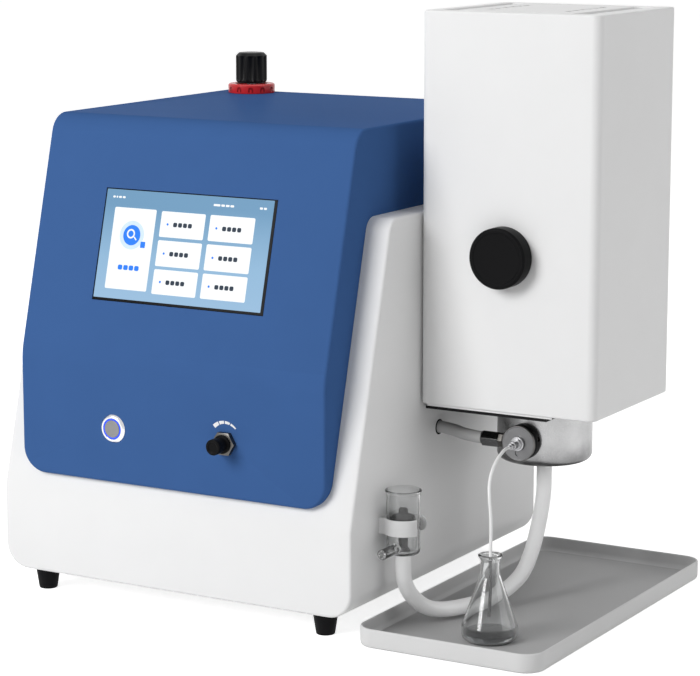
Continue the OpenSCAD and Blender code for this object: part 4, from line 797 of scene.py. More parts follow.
screen_sky = sky()
screen_black = surface("screen_border", (0.004, 0.004, 0.0045), 0.2, 2.0, 0.001, specular=0.04)
tile_white = glowing("screen_tile", (0.84, 0.86, 0.87), 0.95)
tile_mark = glowing("screen_dark_mark", (0.030, 0.045, 0.07), 0.8)
tile_blue = glowing("screen_blue", (0.025, 0.19, 0.80), 1.0)
tile_halo = glowing("screen_halo", (0.58, 0.72, 0.95), 0.95)
print("materials so far:", len(bpy.data.materials))

# %% [markdown]
# ### Tiles on the glass
# The picture is placed by shares of the screen's width and height, as an interface designer would. Each
# tile is an outline with rounded corners, drawn out to a tenth of a millimetre along the slope's own axes.

# %% The screen's picture
LAYER, TILE_T = 0.035, 0.9


def on_screen(u, v, layer):
    """A point of the screen by shares of its width and height, with v from the top."""
    return on_slope((u - 0.5) * DISPLAY_W, -layer * LAYER, DISPLAY_RISE + (1 - v) * DISPLAY_H)


def flat_piece(name, outline, layer, material):
    """A thin tile on the slope, from an outline in shares of the screen."""
    n = len(outline)
    points = [on_screen(u, v, depth) for depth in (layer, layer - TILE_T) for u, v in outline]
    faces = [list(range(n)), list(range(2 * n - 1, n - 1, -1))]
    faces += [[i, (i + 1) % n, n + (i + 1) % n, n + i] for i in range(n)]
    return make(name, points, faces, material, slot="display_glass")


def screen_box(left, top, right, bottom, radius_mm):
    """An outline with rounded corners, in shares of the screen."""
    corners = box_outline((left * DISPLAY_W, top * DISPLAY_H), (right * DISPLAY_W, bottom * DISPLAY_H), radius_mm, 6)
    return [(p.x / DISPLAY_W, p.y / DISPLAY_H) for p in corners]


def screen_disc(u, v, radius_mm, steps=40):
    """A round outline, in shares of the screen."""
    turns = [2 * pi * k / steps for k in range(steps)]
    return [(u + radius_mm * cos(a) / DISPLAY_W, v + radius_mm * sin(a) / DISPLAY_H) for a in turns]


cover_glass = make("screen_cover_glass", *slope_block((-DISPLAY_W / 2, 0, DISPLAY_RISE),
                                                      (DISPLAY_W / 2, 2, DISPLAY_RISE + DISPLAY_H)),
                   screen_black, slot="display_glass", replaces=["display_glass"])
round_edges(cover_glass, 0.25, 2)
BORDER = (0.006, 0.008, 0.983, 0.976)
flat_piece("screen_picture", screen_box(*BORDER, 0.4), 1, screen_sky)
print("cover glass", DISPLAY_W, "by", DISPLAY_H, "mm")

# %% The tiles and their marks
BIG_TILE = (0.066, 0.165, 0.314, 0.890)
TILE_COLUMNS = ((0.346, 0.603), (0.631, 0.888))
TILE_ROWS = ((0.171, 0.398), (0.428, 0.656), (0.684, 0.903))
LABEL_H, TILE_R = 3.5, 1.2


def dashes(name, left, centre_v, widths_mm, height_mm, material):
    """A row of short plain bars."""
    half = height_mm / 2 / DISPLAY_H
    for i, width in enumerate(widths_mm):
        box = screen_box(left, centre_v - half, left + width / DISPLAY_W, centre_v + half, height_mm * 0.32)
        flat_piece(f"{name}_{i}", box, 3, material)
        left += (width + 0.9) / DISPLAY_W


flat_piece("screen_tile_large", screen_box(*BIG_TILE, TILE_R), 2, tile_white)
for column, (left, right) in enumerate(TILE_COLUMNS):
    for row, (top, bottom) in enumerate(TILE_ROWS):
        flat_piece(f"screen_tile_{row}_{column}", screen_box(left, top, right, bottom, TILE_R), 2, tile_white)
        centre_v = (top + bottom) / 2
        flat_piece(f"screen_dot_{row}_{column}", screen_disc(left + 0.042, centre_v, 0.95, 16), 3, tile_blue)
        dashes(f"screen_label_{row}_{column}", left + 0.075, centre_v, (3.6,) * 4, LABEL_H, tile_mark)
big_middle = (BIG_TILE[0] + BIG_TILE[2]) / 2
dashes("screen_label_large", big_middle - 0.062, 0.695, (4.2,) * 4, 3.9, tile_blue)
dashes("screen_heading", 0.045, 0.075, (2.2, 1.4, 2.6, 2.6), 1.5, tile_white)
dashes("screen_date", 0.640, 0.083, (6.0, 3.2, 3.2, 3.2), 1.6, tile_white)
dashes("screen_clock", 0.905, 0.083, (2.6, 2.6), 1.6, tile_white)
print("tiles:", 1 + len(TILE_COLUMNS) * len(TILE_ROWS))

# %% The round icon with its magnifier
ICON = (0.186, 0.405)
ICON_R = 9.2


def flat_ring(name, u, v, outer, inner, material, layer):
    """A flat ring on the screen as one mesh."""
    below = layer - TILE_T
    loops = [[on_screen(*p, depth) for p in screen_disc(u, v, r)]
             for r, depth in ((outer, layer), (outer, below), (inner, below), (inner, layer))]
    n = len(loops[0])
    faces = [[i * n + k, i * n + (k + 1) % n, (i + 1) % 4 * n + (k + 1) % n, (i + 1) % 4 * n + k]
             for i in range(4) for k in range(n)]
    return make(name, [p for loop in loops for p in loop], faces, material, slot="display_glass")


flat_piece("screen_icon_halo", screen_disc(*ICON, ICON_R * 1.22), 3, tile_halo)
flat_piece("screen_icon_disc", screen_disc(*ICON, ICON_R * 0.86), 4, tile_blue)
tag = screen_box(ICON[0] + 0.058, ICON[1] + 0.05, ICON[0] + 0.086, ICON[1] + 0.105, 0.4)
flat_piece("screen_icon_tag", tag, 4, tile_blue)
flat_ring("screen_lens_ring", ICON[0] - 0.006, ICON[1] - 0.012, 3.7, 2.5, tile_white, 5)
HANDLE = [(2.0, 1.5), (2.7, 0.8), (5.0, 3.2), (4.3, 3.9)]
handle = [(ICON[0] + x / DISPLAY_W, ICON[1] + y / DISPLAY_H) for x, y in HANDLE]
flat_piece("screen_lens_handle", handle, 5, tile_white)
print("icon radius in mm:", ICON_R)

# %% [markdown]
# ## The ignite button
# A metal push button stands in a round hole: a rolled steel bezel, a ring of light behind a clear diffuser
# and a brushed cap that travels. All three are turned profiles, so each is spun round the button's axis.
# The profiles have real radii at their rims, which is where small metal parts catch the light.


# %% Turned pieces and the button
def lathed(name, corners, centre, axis, material, body=MAIN_BODY, slot=None, replaces=(), steps=96, curve=5):
    """A turned piece from profile corners (radius from the axis, height, corner radius)."""
    return make(name, *turned(rounded(corners, curve), centre, axis, steps), material, body, slot, replaces, 30)


def dress(node, material):
    """Gives a node that keeps its own shape a finish."""
    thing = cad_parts[node]
    if not thing.material_slots:
        thing.data.materials.append(material)
    for entry in thing.material_slots:
        entry.material = material


BUTTON_AXIS = (BUTTON[0], COVER_FACE, BUTTON[1])
BEZEL_R, BEZEL_PROUD, BARREL_R = 11.2, 2.0, 9.5
LIGHT_OUTER, LIGHT_INNER, CAP_R = 8.25, 7.0, 6.95
lathed("button_bezel_turned",
       [(LIGHT_OUTER, 0.9, 0), (LIGHT_OUTER, -1.85, 0.25), (BEZEL_R - 1.6, -BEZEL_PROUD, 1.6), (BEZEL_R, -0.35, 0.5),
        (BEZEL_R, 0, 0), (BARREL_R, 0, 0), (BARREL_R, 24, 0.5), (7.2, 24, 0), (7.2, 0.9, 0)],
       BUTTON_AXIS, "Y", bezel_steel, slot="bright_steel", replaces=["button_bezel"])
lathed("button_light_diffuser",
       [(LIGHT_INNER, 0.9, 0), (LIGHT_INNER, -1.8, 0.12), (LIGHT_OUTER - 0.05, -1.8, 0.12),
        (LIGHT_OUTER - 0.05, 0.9, 0)],
       BUTTON_AXIS, "Y", ring_light, slot="blue_light", replaces=["button_light_ring"])
lathed("button_press_cap", [(0, -1.95, 0), (CAP_R - 0.1, -2.0, 0.3), (CAP_R - 0.1, 8.0, 0.3), (0, 8.0, 0)],
       BUTTON_AXIS, "Y", cap_steel, "button", "button_metal", ["button_cap"])
print("button bezel across in mm:", 2 * BEZEL_R)

# %% [markdown]
# ## The gas valve
# The needle valve is held in the panel by a chamfered hexagon nut. Its knob is a slim black spool: a thin
# flange against the nut, a barrel, and a slightly wider grip at the end with a dished face. A printed
# wedge above it, in four shrinking steps, shows which way the gas opens.

# %% Nut, knob and wedge
VALVE_AXIS = (VALVE[0], COVER_FACE, VALVE[1])
NUT_FLATS, NUT_H, BUSHING_R = 17, 4.2, 5.0
KNOB_END = -18.0
CONE_LOW_R, CONE_HIGH_R, CONE_H = NUT_FLATS / 2 - 0.1, NUT_FLATS / 2 + 2.0, 1.1
nut = extruded("gas_nut_hexagon", hexagon(VALVE, NUT_FLATS / 2 / cos(pi / 6)), COVER_FACE - NUT_H, COVER_FACE, "XZ",
               nut_plate, slot="chrome_plate", replaces=["gas_valve_nut"])
chamfer_tool = lathed("cutter", [(0, -NUT_H, 0), (CONE_LOW_R, -NUT_H, 0), (CONE_HIGH_R, -NUT_H + CONE_H, 0),
                                 (CONE_HIGH_R, 0, 0), (0, 0, 0)], VALVE_AXIS, "Y", nut_plate, body=None)
cut(nut, [chamfer_tool], "INTERSECT")
cut(nut, [rod(BUSHING_R + 0.06, -NUT_H - 1, 1, VALVE_AXIS, "Y")])
GRIP_R, KNOB_BARREL_R, FLANGE_R, SPINDLE_R = 6.15, 5.45, 7.25, 2.45
lathed("gas_knob_spool",
       [(0, -17.3, 0), (3.4, -17.3, 0.4), (4.4, KNOB_END, 0.3), (GRIP_R, KNOB_END, 0.7), (GRIP_R, -12.0, 0.5),
        (KNOB_BARREL_R, -11.7, 0.3), (KNOB_BARREL_R, -6.1, 0.3), (FLANGE_R, -5.9, 0.3), (FLANGE_R, -4.55, 0.3),
        (SPINDLE_R, -4.55, 0), (SPINDLE_R, 7.6, 0.4), (0, 7.6, 0)],
       VALVE_AXIS, "Y", black_satin, "gas_knob_set", "black_plastic", ["gas_knob"], 72)
WEDGE_CENTRE, WEDGE_R = (-109, 146), 14.4
WEDGE_ARCS = ((134, 112), (108.5, 90), (86.5, 68), (64.5, 42))
WEDGE_SKIN, WEDGE_THIN, WEDGE_GAIN = 0.12, 1.2, 2.0
print_white = surface("printed_white", (0.82, 0.82, 0.83), 0.45, 0.5, 0.002, vary=0.01)


def wedge_thickness(angle):
    """The wedge thins from left to right."""
    first, last = WEDGE_ARCS[0][0], WEDGE_ARCS[-1][1]
    return WEDGE_THIN + (angle - last) / (first - last) * WEDGE_GAIN


for number, (start, end) in enumerate(WEDGE_ARCS, 1):
    steps = [start + (end - start) * k / 8 for k in range(9)]
    outer = [(WEDGE_R, a) for a in steps]
    inner = [(WEDGE_R - wedge_thickness(a), a) for a in steps[::-1]]
    outline = [(WEDGE_CENTRE[0] + r * cos(radians(a)), WEDGE_CENTRE[1] + r * sin(radians(a)))
               for r, a in outer + inner]
    extruded(f"gas_wedge_step_{number}", outline, COVER_FACE - WEDGE_SKIN, COVER_FACE + 0.3, "XZ", print_white,
             slot="white_paint")
dress("gas_valve_body", machined_brass)
dress("gas_needle", fitting_steel)
print("wedge steps:", len(WEDGE_ARCS))

# %% [markdown]
# ## The pressure regulator
# On top stands the air regulator: a black ribbed knob over a red lock ring. The knob is lofted through
# fluted outlines, so its ribs fade into the chamfers at both ends. Twelve small arches are sunk in the
# red ring's rim, and their insides are painted a darker red as painted shade.


# %% Knob outline and loft
RIBS, RIB_STEPS, BITE_R = 12, 16, 2.9


def fluted(radius, depth_share):
    """An outline with a round bite between ribs; depth_share 0 leaves it round and 1 gives full bites."""
    distance = radius + 0.5 * BITE_R
    outline = []
    for k in range(RIBS * RIB_STEPS):
        angle = 2 * pi * k / (RIBS * RIB_STEPS)
        off = (angle + pi / RIBS) % (2 * pi / RIBS) - pi / RIBS
        inside = BITE_R ** 2 - (distance * sin(off)) ** 2
        reach = distance * cos(off) - sqrt(inside) if inside > 0 else radius
        r = radius - depth_share * max(0, radius - reach)
        outline.append((r * cos(angle), r * sin(angle)))
    return outline


REG_X, REG_Y = REGULATOR
RIBBED = [(388.4, 11.6, 0), (388.9, 12.2, 0), (390.2, 13.35, 0.25), (391.0, 13.5, 0.7), (392.0, 13.5, 1),
          (410.2, 13.5, 1), (411.2, 13.5, 0.7), (411.8, 13.4, 0.25), (413.9, 11.2, 0), (414.3, 10.6, 0),
          (414.4, 9.8, 0)]  # height, radius and depth of the bites
loops = [[(REG_X + x, REG_Y + y, z) for x, y in fluted(r, share)] for z, r, share in RIBBED]
knob_mesh = make("regulator_knob_ribbed", *lofted(loops), black_ribbed, "regulator_grip", "black_plastic",
                 ["regulator_knob"], 38)
cut(knob_mesh, [rod(4.2, 386, 409.2, (REG_X, REG_Y, 0), "Z")])

# %% Red ring with sunk arches
RING_R, RING_H, RING_BORE, MARKS = 20.0, 8.0, 14.1, 12
ring = lathed("regulator_ring_red",
              [(RING_BORE, 0, 0), (RING_R, 0, 0.7), (RING_R, 7.0, 0.5), (RING_R - 1.2, RING_H, 0.5),
               (RING_BORE, RING_H, 0.4)], (REG_X, REG_Y, COVER_TOP), "Z", red_gloss, slot="red_plastic",
              replaces=["regulator_ring"], steps=144)
ring.data.materials.append(red_recess_painted_shade)
arch = rounded([(-2.1, 1.2, 0.3), (2.1, 1.2, 0.3), (2.1, 5.6, 2.0), (-2.1, 5.6, 2.0)], 6)
arch_core = rounded([(-0.8, 1.2, 0.1), (0.8, 1.2, 0.1), (0.8, 3.9, 0.78), (-0.8, 3.9, 0.78)], 5)


def at_mark(k, outline, low, high):
    """Points and faces of an outline drawn out from the ring's axis, turned to mark number k."""
    turn = Matrix.Rotation(2 * pi * k / MARKS, 3, "Z")
    points, faces = drawn(outline, low, high, "YZ")
    return [Vector((REG_X, REG_Y, COVER_TOP)) + turn @ Vector(p) for p in points], faces


# the arch cutters carry the darker red into the recesses: painted shade
cut(ring, [loose(*at_mark(k, arch, RING_R - 0.55, RING_R + 1), red_recess_painted_shade) for k in range(MARKS)])
for k in range(MARKS):
    make(f"ring_arch_core_{k + 1}", *at_mark(k, arch_core, RING_R - 0.7, RING_R - 0.12), red_gloss,
         slot="red_plastic")
dress("regulator_body", cast_alloy)
dress("regulator_stem", fitting_steel)
dress("regulator_seat", machined_brass)
print("ring marks:", MARKS)

# %% [markdown]
# ## The chimney housing
# The burner stands in a tall folded steel housing. Its upright edges are bent to a 7 mm radius and its top
# rim is turned inward, over a vent plate with slots. It is an outline drawn upward, rounded at the top,
# then hollowed; the sight hole and the openings to the cabinet are cut through its walls.

# %% Chimney shell
CHIMNEY_LOW, CHIMNEY_HIGH = (0.6, 104.3), (147.6, 243.7)
CHIMNEY_FOOT, CHIMNEY_TOP, CHIMNEY_WALL, CHIMNEY_R, RIM_W = 166.3, 466.0, 1.5, 7.0, 12.0
PORT, PORT_HOLE_R = (72, 285), 20.2


def inset_box(low, high, inset, radius, steps=10):
    """A rounded rectangle, moved in by inset."""
    return box_outline((low[0] + inset, low[1] + inset), (high[0] - inset, high[1] - inset),
                       max(0.5, radius - inset), steps)


chimney = extruded("chimney_shell", inset_box(CHIMNEY_LOW, CHIMNEY_HIGH, 0, CHIMNEY_R, 12), CHIMNEY_FOOT, CHIMNEY_TOP,
                   "XY", white_coat, slot="white_paint", replaces=["chimney_housing"])
rim_bevel = chimney.modifiers.new("rim", "BEVEL")
rim_bevel.width, rim_bevel.segments = 1.4 * MM, 4
rim_bevel.limit_method, rim_bevel.angle_limit = "ANGLE", radians(60)
apply_modifiers(chimney)
cut(chimney, [solid(inset_box(CHIMNEY_LOW, CHIMNEY_HIGH, CHIMNEY_WALL, CHIMNEY_R), CHIMNEY_FOOT - 5,
                    CHIMNEY_TOP - CHIMNEY_WALL),
              solid(inset_box(CHIMNEY_LOW, CHIMNEY_HIGH, RIM_W, CHIMNEY_R), CHIMNEY_TOP - 5, CHIMNEY_TOP + 5),
              rod(PORT_HOLE_R, -5, 5, (PORT[0], CHIMNEY_LOW[1], PORT[1]), "Y"), *side_rods((BEAM, GAS_LINE), -3, 5)])
round_edges(chimney, 0.2, 2, 50)
LIP_H, LIP_T, LIP_RIGHT, LIP_FRONT = 1.5, 1.2, 112, CHIMNEY_LOW[1] + 1.6
lip = extruded("chimney_lower_lip", box_outline((CHIMNEY_LOW[0] + 6, LIP_FRONT), (LIP_RIGHT, LIP_FRONT + LIP_T), 0),
               CHIMNEY_FOOT - LIP_H, CHIMNEY_FOOT + 4, "XY", white_coat, slot="white_paint")
round_edges(lip, 0.3, 2)
print("chimney height in mm:", round(CHIMNEY_TOP - CHIMNEY_FOOT, 1))

# %% [markdown]
# ### The vent plate
# Hot gas leaves through slots in a plate that lies under the rim. Its middle is raised to the level of the
# rim, and the slots run beside both short edges of the raised part. The slots are cut right through, so
# that from above they are truly dark.

# %% Vent plate
vent_low, vent_high = box_mm("vent_plate")
RAISED_LOW, RAISED_HIGH = (24.0, 119.3), (120.0, 228.7)
SLOT_W, SLOT_L, SLOT_PITCH, SLOTS = 5.0, 9.0, 12.0, 6
under_rim = CHIMNEY_TOP - CHIMNEY_WALL - 0.02
plate = extruded("vent_plate_sheet", inset_box(CHIMNEY_LOW, CHIMNEY_HIGH, 1.7, CHIMNEY_R), vent_low.z, under_rim,
                 "XY", white_coat, slot="white_paint", replaces=["vent_plate"])
raised = solid(box_outline(RAISED_LOW, RAISED_HIGH, 2.5), vent_low.z + 0.3, vent_high.z)
cut(plate, [raised], "UNION")
cut(plate, [solid(inset_box(RAISED_LOW, RAISED_HIGH, CHIMNEY_WALL, 2 * CHIMNEY_WALL), vent_low.z - 2,
                  vent_high.z - CHIMNEY_WALL)])
slot_ys = [BURNER_Y + (i - (SLOTS - 1) / 2) * SLOT_PITCH for i in range(SLOTS)]
slot_tools = [solid(box_outline((x - SLOT_W / 2, y - SLOT_L / 2), (x + SLOT_W / 2, y + SLOT_L / 2), 1.6, 6),
                    vent_low.z - 3, vent_high.z + 3)
              for x in (RAISED_LOW[0] + 16, RAISED_HIGH[0] - 16) for y in slot_ys]
cut(plate, slot_tools)
round_edges(plate, 0.35, 2, 40)
print("vent plate faces:", len(plate.data.polygons))

# %% [markdown]
# ## The sight port and its cap
# A black cap closes the tube through which the flame is watched. It is a turned cup with a chamfered rim
# and a slightly sunk face, and it pulls off its spigot to the front.

# %% Sight cap, tube and gasket
CAP_AXIS = (PORT[0], 104.0, PORT[1])
CAP_OUTER, CAP_LENGTH, CAP_BORE, CAP_DEPTH = 23.05, 13.4, 20.35, 10.4
lathed("viewing_cap_turned",
       [(0, -CAP_LENGTH + 0.5, 0), (CAP_OUTER - 4.0, -CAP_LENGTH + 0.5, 0.3), (CAP_OUTER - 3.4, -CAP_LENGTH, 0.3),
        (CAP_OUTER - 1.3, -CAP_LENGTH, 0.7), (CAP_OUTER, -CAP_LENGTH + 1.5, 0.7), (CAP_OUTER, 0, 0.3),
        (CAP_BORE, 0, 0.2), (CAP_BORE, -CAP_DEPTH, 0.3), (0, -CAP_DEPTH, 0)],
       CAP_AXIS, "Y", black_satin, "view_cap", "black_plastic", ["viewing_cap"], 128)
dress("viewing_tube", fitting_steel)
dress("viewing_window", heat_glass)
dress("chimney_gasket", gasket_black)
print("cap across in mm:", 2 * CAP_OUTER)

# %% [markdown]
# ## The mixing chamber
# The spray chamber is a deep-drawn steel bowl with a satin outside. Its wall meets the flat bottom in a 6 mm
# radius, a round boss at the front takes the nebulizer, and a short collar below takes the drain hose. The
# bowl is a turned shell, and the boss is a second turned piece whose foot flares over the weld.

# %% Bowl, boss and collar
BOWL = (74, BURNER_Y)
BOWL_R, BOWL_LOW, BOWL_TOP, BOWL_EDGE_R = 37.0, 118.5, 161.25, 6.0
NEBULIZER = (75.5, 139)
BOSS_R, BOSS_BORE, BOSS_FACE = 12.5, 8.2, 136.0
BOWL_WALL, BURNER_HOLE_R, COLLAR_R, COLLAR_BORE, COLLAR_LOW = 1.5, 14.1, 5.9, 3.0, 114.1
bowl = lathed("mixing_bowl_shell",
              [(COLLAR_BORE, BOWL_LOW + BOWL_WALL, 0), (COLLAR_BORE, COLLAR_LOW, 0), (COLLAR_R, COLLAR_LOW, 0.4),
               (COLLAR_R, BOWL_LOW - 0.9, 0.8), (BOWL_R, BOWL_LOW, BOWL_EDGE_R), (BOWL_R, BOWL_TOP - 2.5, 0.3),
               (BOWL_R - 0.5, BOWL_TOP - 2.1, 0.2), (BOWL_R - 0.5, BOWL_TOP, 0.2), (BURNER_HOLE_R, BOWL_TOP, 0),
               (BURNER_HOLE_R, BOWL_TOP - BOWL_WALL, 0), (BOWL_R - BOWL_WALL, BOWL_TOP - BOWL_WALL, 0),
               (BOWL_R - BOWL_WALL, BOWL_LOW + BOWL_WALL, 4.5)],
              (*BOWL, 0), "Z", bowl_steel, slot="polished_steel", replaces=["mixing_chamber"], steps=128)
boss_low, boss_high = -38.0, -2.5
boss = lathed("chamber_boss",
              [(BOSS_BORE, boss_high, 0), (BOSS_R + 2.2, boss_high, 0), (BOSS_R + 1.2, boss_high - 0.2, 1.2),
               (BOSS_R, boss_high - 2.2, 1.6), (BOSS_R, boss_low, 0.5), (BOSS_BORE, boss_low, 0)],
              (NEBULIZER[0], BOWL[1], NEBULIZER[1]), "Y", face_steel, slot="polished_steel")
cut(boss, [rod(BOWL_R - 1.6, 100, 180, (*BOWL, 0), "Z", 96)])
cut(bowl, [rod(BOSS_BORE, BOSS_FACE - 2 - BOWL[1], -20, (NEBULIZER[0], BOWL[1], NEBULIZER[1]), "Y")])
print("bowl across in mm:", 2 * BOWL_R)

# %% [markdown]
# ## The nebulizer
# The capillary ends in a turned steel stack: a satin face plate with a bright rim and one small recess, a
# black lock ring with a set screw behind it, and a stepped fitting in front that narrows in five steps. The
# air nut and the coupling block feed it from the side.

# %% Plate, ring and fitting
NEB_AXIS = (NEBULIZER[0], 0, NEBULIZER[1])
PLATE_R, PLATE_FACE = 13.7, 124.0
neb_plate = lathed("nebulizer_face_plate",
                   [(5.6, PLATE_FACE + 0.25, 0), (PLATE_R - 1.2, PLATE_FACE + 0.25, 0.1),
                    (PLATE_R - 0.9, PLATE_FACE, 0.15), (PLATE_R, PLATE_FACE, 0.35), (PLATE_R, PLATE_FACE + 1.9, 0.2),
                    (5.6, PLATE_FACE + 1.9, 0)],
                   NEB_AXIS, "Y", face_steel, slot="bright_steel", replaces=["nebulizer_plate"])
lathed("nebulizer_face_rim", [(PLATE_R - 0.4, PLATE_FACE + 0.05, 0), (PLATE_R - 0.4, PLATE_FACE - 0.03, 0),
                              (PLATE_R + 0.03, PLATE_FACE - 0.03, 0.3), (PLATE_R + 0.03, PLATE_FACE + 0.9, 0),
                              (PLATE_R - 0.2, PLATE_FACE + 0.9, 0)], NEB_AXIS, "Y", nut_plate, slot="bright_steel")
cut(neb_plate, [rod(2.6, PLATE_FACE - 1, PLATE_FACE + 1.1, (NEBULIZER[0], 0, NEBULIZER[1] - 7.6), "Y", 32)])
neb_ring = lathed("nebulizer_lock_ring",
                  [(8.3, 126.05, 0), (PLATE_R, 126.05, 0.4), (PLATE_R, 127.6, 0.15), (PLATE_R - 0.5, 127.9, 0.1),
                   (PLATE_R - 0.5, 128.5, 0.1), (PLATE_R, 128.8, 0.15), (PLATE_R, 135.9, 0.5), (8.3, 135.9, 0)],
                  NEB_AXIS, "Y", black_satin, slot="black_plastic", replaces=["nebulizer_ring"])
screw_turn = Matrix.Rotation(radians(-14), 3, "Y")


def ring_side(radius, low, high):
    """Points and faces of a rod that points sideways out of the lock ring, where its set screw sits."""
    points, faces = turned([(0, low), (radius, low), (radius, high), (0, high)], (0, 0, 0), "X", 32)
    moved = [Vector((NEBULIZER[0], 132.2, NEBULIZER[1])) + screw_turn @ Vector(p) for p in points]
    return moved, faces


cut(neb_ring, [loose(*ring_side(1.9, 10, 16), black_satin)])
make("nebulizer_set_screw", *ring_side(1.7, 8.5, 12.6), nut_plate, slot="bright_steel")
STEPS = ((5.5, 2.2), (4.2, 2.0), (3.1, 5.8), (2.4, 3.5), (1.7, 2.5))
fitting_corners, along = [(1.05, PLATE_FACE, 0)], PLATE_FACE
for radius, length in STEPS:
    fitting_corners += [(radius, along, 0.08), (radius, along - length, 0.3)]
    along -= length
fitting_corners.append((1.05, along, 0))
lathed("capillary_fitting_stepped", fitting_corners, NEB_AXIS, "Y", fitting_steel, slot="bright_steel",
       replaces=["capillary_fitting"], steps=64)
print("fitting length in mm:", round(PLATE_FACE - along, 1))

# %% Nut, coupling block and bridge to the ring
COUPLING_Y, COUPLING_Z = 131.0, 139.0
COUPLING_AXIS = (0, COUPLING_Y, COUPLING_Z)
BLOCK_HALF, BLOCK_TURN = 4.15, radians(33)
block_corners = [(a * BLOCK_HALF, b * BLOCK_HALF) for a, b in ((-1, -1), (1, -1), (1, 1), (-1, 1))]
block_outline = [(COUPLING_Y + y * cos(BLOCK_TURN) - z * sin(BLOCK_TURN),
                  COUPLING_Z - 0.4 + y * sin(BLOCK_TURN) + z * cos(BLOCK_TURN)) for y, z in block_corners]
block = extruded("hose_coupling_block", block_outline, 41.85, 56.7, "YZ", block_metal, slot="black_plastic",
                 replaces=["hose_coupling"])
round_edges(block, 0.35, 3)
lathed("hose_coupling_collar", [(2.2, 42.4, 0), (5.1, 42.4, 0.3), (5.1, 41.8, 0.2), (2.2, 41.8, 0)], COUPLING_AXIS,
       "X", face_steel, slot="chrome_plate")
AIR_NUT_R = 5.75
air_nut = extruded("air_nut_hexagon", hexagon((COUPLING_Y, COUPLING_Z), AIR_NUT_R), 56.8, 60.7, "YZ", nut_plate,
                   slot="chrome_plate", replaces=["coupling_nut"])
round_edges(air_nut, 0.35, 2)
lathed("air_stub", [(1.5, 60.5, 0), (3.4, 60.5, 0.2), (3.4, 63.5, 0.2), (1.5, 63.5, 0)], COUPLING_AXIS, "X",
       fitting_steel, slot="bright_steel", steps=48)

# %% [markdown]
# ## The air hose
# Compressed air reaches the nebulizer through a short stiff hose that comes out of the cabinet's side in a
# rubber grommet. It goes into the dark coupling block behind a thin steel collar.

# %% Air hose and grommet
AIR_ROUTE = [(x, *AIR_LINE[:2]) for x in (-10, -3, 4)] + [
    (14, 137, 140.6), (24, 134.5, 139.3), (36.75, COUPLING_Y, COUPLING_Z), (41.8, COUPLING_Y, COUPLING_Z)]
AIR_R = 4.7
# the air hose takes the darker hose colour, painted shade under the chimney
make("air_hose_tube", *tube(smooth_route(AIR_ROUTE, 8), AIR_R, 36, (0, 0, 1)), air_hose_painted_shade, slot="hose_plastic",
     replaces=["air_hose"], smooth_below=60)
lathed("hose_grommet_ring",
       [(4.8, -3.0, 0), (7.4, -3.0, 0.4), (7.4, -2.05, 0.2), (5.95, -2.0, 0), (5.95, 0, 0), (6.1, 0.02, 0.1),
        (6.1, 0.35, 0.2), (4.8, 0.35, 0.2)], (0, *AIR_LINE[:2]), "X", rubber_black, slot="black_rubber",
       replaces=["hose_grommet"], steps=64)
print("air hose across in mm:", 2 * AIR_R)

# %% [markdown]
# ## The drain cup
# The cup is blown from heavy tube: a rolled rim at the top, a round shoulder at the bottom and a small hose
# nozzle drawn out of its wall. Inner and outer skin are separate surfaces of one closed shell, because clear
# glass only looks right when light crosses both.

# %% Glass cup with its nozzle
CUP = (16, 51.5)
CUP_R, CUP_WALL, CUP_LOW, CUP_TOP = 12.95, 1.5, 62.0, 111.4
cup = lathed("drain_cup_glass", [(4.7, CUP_LOW, 0.2), (CUP_R, CUP_LOW, 3.0), (CUP_R, CUP_TOP - 2.6, 1.0),
                                 (CUP_R + 1.1, CUP_TOP - 1.4, 0.8), (CUP_R + 0.9, CUP_TOP, 0.8),
                                 (CUP_R - CUP_WALL, CUP_TOP - 0.3, 0.8), (CUP_R - CUP_WALL, CUP_LOW + 2.0, 2.0),
                                 (4.7, CUP_LOW + 2.0, 0.2)],
             (*CUP, 0), "Z", lab_glass, slot="clear_glass", replaces=["glass_cup"], steps=112)
NOZZLE_Z, NOZZLE_R, NOZZLE_BORE, NOZZLE_END = 68.0, 3.95, 2.0, 18.6
nozzle_base = (*CUP, NOZZLE_Z)
nozzle = lathed("cutter", [(0, NOZZLE_END - CUP[1], 0), (NOZZLE_R, NOZZLE_END - CUP[1], 0.6),
                           (NOZZLE_R, -13.6, 1.5), (NOZZLE_R + 1.6, -11.9, 0), (0, -11.9, 0)],
                nozzle_base, "Y", lab_glass, body=None, steps=48)
cut(cup, [nozzle], "UNION")
cut(cup, [rod(NOZZLE_BORE, NOZZLE_END - CUP[1] - 2, -9, nozzle_base, "Y", 32)])
print("cup height in mm:", round(CUP_TOP - CUP_LOW, 1))

# %% [markdown]
# ### Standpipe and bell
# Inside the cup a black pipe sets the liquid's level and a loose bell with a knob covers it, so that no
# gas gets past. Both are turned mouldings.

# %% Standpipe and bell
lathed("standpipe_turned",
       [(2.0, 62.2, 0), (4.65, 62.2, 0.3), (4.65, 66.0, 0.8), (3.45, 67.0, 0.6), (3.45, 76.0, 0.2), (3.45, 89.9, 0.4),
        (2.0, 89.9, 0)], (*CUP, 0), "Z", black_matt, slot="black_plastic", replaces=["standpipe"], steps=56)
lathed("bell_cap_turned", [(3.8, 77.1, 0), (9.45, 77.1, 0.4), (9.45, 90.6, 2.4), (3.6, 93.0, 0.8), (3.5, 96.9, 1.4),
                           (0, 96.9, 0), (0, 91.2, 0), (3.8, 91.2, 0.4)], (*CUP, 0), "Z", black_satin,
       slot="black_plastic", replaces=["bell_cap"], steps=72)

# %% [markdown]
# ### The clip
# A bent white strap holds the cup to the cabinet. Its band goes nearly all round and springs open at the
# rear right. There one end runs on straight as a thumb flap with round corners. A small pad lies against
# the wall.

